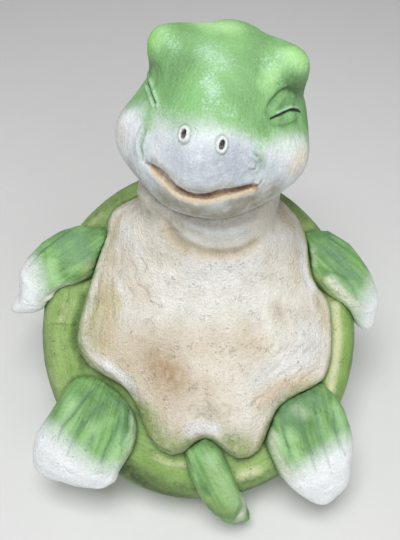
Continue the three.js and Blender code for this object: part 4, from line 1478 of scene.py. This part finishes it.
# The moss and deep lines along the belly's edge, beside the legs and along the lower edge are painted shade
# and painted shadow
SHELL_SPRAYS = [
    ("moss_shade", [(84, 296), (77, 320), (74, 342), (84, 366)], 7, 0.9),
    ("moss_shade", [(102, 374), (122, 384), (134, 397), (142, 416)], 6, 0.6),
    # A thin painted highlight on the outer edge of the groove beside the belly
    ("lime", [(76, 300), (70, 320), (68, 342), (76, 364)], 3.5, 0.7),
    ("moss_shade", [(122, 196), (104, 208), (88, 222)], 12, 0.5),
    ("moss_shade", [(100, 216), (86, 250)], 9, 0.5),
    ("moss_shade", [(352, 320), (353, 345), (348, 372)], 5, 0.4),
    ("moss_shade", [(288, 200), (304, 218)], 10, 0.6),
    ("sap", [(348, 312), (349, 345), (345, 372), (339, 394)], 10, 0.65),
    ("sap", [(70, 330), (74, 350), (72, 370)], 9, 0.5),
    ("cream", [(335, 306), (337, 330), (336, 358), (332, 378), (331, 394)], 7, 0.9),
    ("cream", [(66, 306), (62, 320)], 6, 0.4),
    ("cream", [(90, 224), (102, 214)], 7, 0.3),
    ("cream", [(50, 372), (57, 384)], 7, 0.3),
    ("cream", [(156, 457), (172, 464), (186, 464)], 6, 0.5),
    ("cream", [(242, 475), (257, 471)], 8, 0.8),
    ("deep_shade", [(122, 471), (144, 485), (168, 494), (196, 499)], 16, 0.9),
    ("deep_shade", [(128, 465), (133, 474), (140, 481)], 8, 0.7),
    ("moss_shade", [(120, 460), (142, 474), (166, 484), (194, 489)], 12, 0.7),
    ("deep_shade", [(246, 493), (262, 488), (278, 478)], 13, 0.9),
    ("moss_shade", [(244, 482), (260, 478), (274, 470)], 7, 0.6),
    ("sap", [(140, 456), (160, 470), (190, 478)], 9, 0.4),
]

across, along, above = shell.within(body_frame).T
bearing = np.arctan2(along, across)
down_the_side = np.hypot(across, along) + above
shell.brushing = np.column_stack([down_the_side, bearing * SHELL_RADIUS, np.zeros(len(above))])
spokes = shell.rest[:, :2] - np.array(rim_centre)[:2]
ground_bearing = np.degrees(np.arctan2(spokes[:, 1], spokes[:, 0]))
radius = np.hypot(spokes[:, 1], spokes[:, 0])
facing_out = (shell.normals[:, :2] * spokes).sum(axis=1) > 0
off_line = np.abs(above - BAND_LINE)
for shield_edge in [SHIELD_BACK + side * turn for turn in SHIELD_TURNS for side in (-1, 1)]:
    turn = (ground_bearing - shield_edge + 180) % 360 - 180
    off_edge = np.hypot(np.radians(turn) * radius, np.maximum(0, above - BAND_LINE))
    off_line = np.minimum(off_line, np.where(np.abs(turn) < SHIELD_SIDE, off_edge, FAR_OFF))
groove = np.where(facing_out & (above < GROOVE_TOP), eased(1 - off_line / GROOVE_HALF), 0)
shell.points -= shell.normals * (GROOVE_DEPTH * groove)[:, None]
# Painted shade in the shield grooves
shell.layer("moss_shade", groove * GROOVE_SHADE)
cover, top, fade = FOOT_SHADE
shell.layer("moss_shade", cover * eased((top - shell.rest[:, 2]) / fade))
cover, foot, fade = CREST_LIME
shell.layer("lime", cover * eased((above - foot) / fade))
shell.darken_near("moss_shade", [belly, *limbs], *RIM_SHADE)
shell.spray_all(SHELL_SPRAYS)
# Yellow green in broad strokes, satin, with painted shade in the grooves, at the foot and along the
# lower edge, and lime on the crest
shell.finish(
    sprayed_resin(
        "sprayed_acrylic_on_cast_resin_shell",
        SHELL_GREEN,
        SHELL_SHADE,
        [
            ("lime", LIME, 6.0, "broken"),
            ("sap", SAP_GREEN, 5.0, "broken"),
            ("moss_shade", SHELL_MOSS_SHADE, 5.0, "wash"),
            ("cream", SHELL_CREAM, 4.0, "broken"),
            ("deep_shade", DEEP_OLIVE_SHADE, 4.0, "wash"),
        ],
        gloss=0.5,
        rough=(1.2, 2.0, 1.0),
        stroke=(3.0, 40, 0.24),
        seed=29.0,
        pitted=0.9,
        hairlines=0.12,
    ),
    "shell_paint",
    {
        "Lump Size": 20,
        "Lump Height": 1.6,
        "Stroke Width": 4.0,
        "Stroke Length": 40,
        "Stroke Height": 0.6,
        "Pock Spacing": 9,
        "Pock Depth": 0.3,
    },
)

# Plain materials of the joints, the stopper and the floor

PLAIN_BUMP = 0.2


def plain_finish(name, ground, fleck, size, detail, stretch, relief, roughness, refraction):
    """A material of one colour with flecks of another. The size and the relief are in millimetres."""
    finish = bpy.data.materials.new(name)
    finish.use_nodes = True
    tree = finish.node_tree
    tree.nodes.clear()
    place = add(tree, "ShaderNodeTexCoord").outputs["Object"]
    stretched = add(tree, "ShaderNodeMapping", {"Vector": place, "Scale": stretch})
    flecks = add(
        tree,
        "ShaderNodeTexNoise",
        {"Vector": stretched.outputs[0], "Scale": 1 / (size * MM), "Detail": detail},
    ).outputs[0]
    colour = add(
        tree, "ShaderNodeMix", {0: flecks, 6: linear(ground), 7: linear(fleck)}, data_type="RGBA"
    )
    uneven = add(
        tree, "ShaderNodeBump", {"Strength": PLAIN_BUMP, "Distance": relief * MM, "Height": flecks}
    )
    skin = add(
        tree,
        "ShaderNodeBsdfPrincipled",
        {
            "Base Color": colour.outputs[2],
            "Normal": uneven.outputs[0],
            "Roughness": roughness,
            "IOR": refraction,
        },
    )
    add(tree, "ShaderNodeOutputMaterial", {0: skin.outputs[0]})
    return finish


# Dowels inside the joints: turned beech, pale with fine brown flecks along the grain
beech = plain_finish(
    "turned_beech",
    BEECH,
    BEECH_FLECK,
    size=1.2,
    detail=4.0,
    stretch=(1.0, 1.0, 0.15),
    relief=0.2,
    roughness=0.65,
    refraction=1.5,
)
# Drain stopper: moulded rubber, near black, with a dull bloom of dust
rubber = plain_finish(
    "moulded_rubber",
    RUBBER,
    RUBBER_DUST,
    size=3,
    detail=4.0,
    stretch=(1.0, 1.0, 1.0),
    relief=0.2,
    roughness=0.75,
    refraction=1.52,
)
# Floor: matt paper, a pale grey that is almost even
paper = plain_finish(
    "matt_paper",
    PAPER,
    PAPER_FIBRE,
    size=40,
    detail=5.0,
    stretch=(1.0, 1.0, 1.0),
    relief=0,
    roughness=0.9,
    refraction=1.5,
)

for node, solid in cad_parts.items():
    if node not in castings:
        solid.data.materials.clear()
        solid.data.materials.append(rubber if node == "drain_stopper" else beech)

# Floor, light and camera, in metres

FLOOR_REACH = 4
ROOM_LIGHT = 0.2

corners = [(x * FLOOR_REACH, y * FLOOR_REACH, 0) for x, y in ((-1, -1), (1, -1), (1, 1), (-1, 1))]
floor_mesh = bpy.data.meshes.new("floor")
floor_mesh.from_pydata(corners, [], [(0, 1, 2, 3)])
floor = bpy.data.objects.new("floor", floor_mesh)
bpy.context.scene.collection.objects.link(floor)
floor_mesh.materials.append(paper)


def hang_lamp(name, place, aim, size, power):
    """A square soft box that hangs at a place and points at another."""
    light = bpy.data.lights.new(name, "AREA")
    light.size = size
    light.energy = power
    lamp = bpy.data.objects.new(name, light)
    lamp.location = place
    lamp.rotation_euler = (Vector(aim) - Vector(place)).to_track_quat("-Z", "Y").to_euler()
    bpy.context.scene.collection.objects.link(lamp)


hang_lamp("overhead_soft_box", place=(-0.12, -0.3, 1.6), aim=(0, 0.05, 0.15), size=0.8, power=19.6)
hang_lamp("front_soft_box", place=(0.5, -1.4, 0.9), aim=(0, 0, 0.15), size=1.0, power=7.7)

scene = bpy.context.scene
scene.world = bpy.data.worlds.new("room")
scene.world.use_nodes = True
background = scene.world.node_tree.nodes["Background"].inputs
background["Color"].default_value = (1, 1, 1, 1)
background["Strength"].default_value = ROOM_LIGHT
scene.view_settings.view_transform = "Standard"

lens = bpy.data.cameras.new("camera")
lens.sensor_width = SENSOR
lens.lens = SENSOR * FOCAL_LENGTH / PICTURE_HEIGHT
camera = bpy.data.objects.new("camera", lens)
camera.location = camera_place * MM
camera.rotation_euler = (math.pi / 2 - CAMERA_DIP, 0, 0)
scene.collection.objects.link(camera)
scene.camera = camera
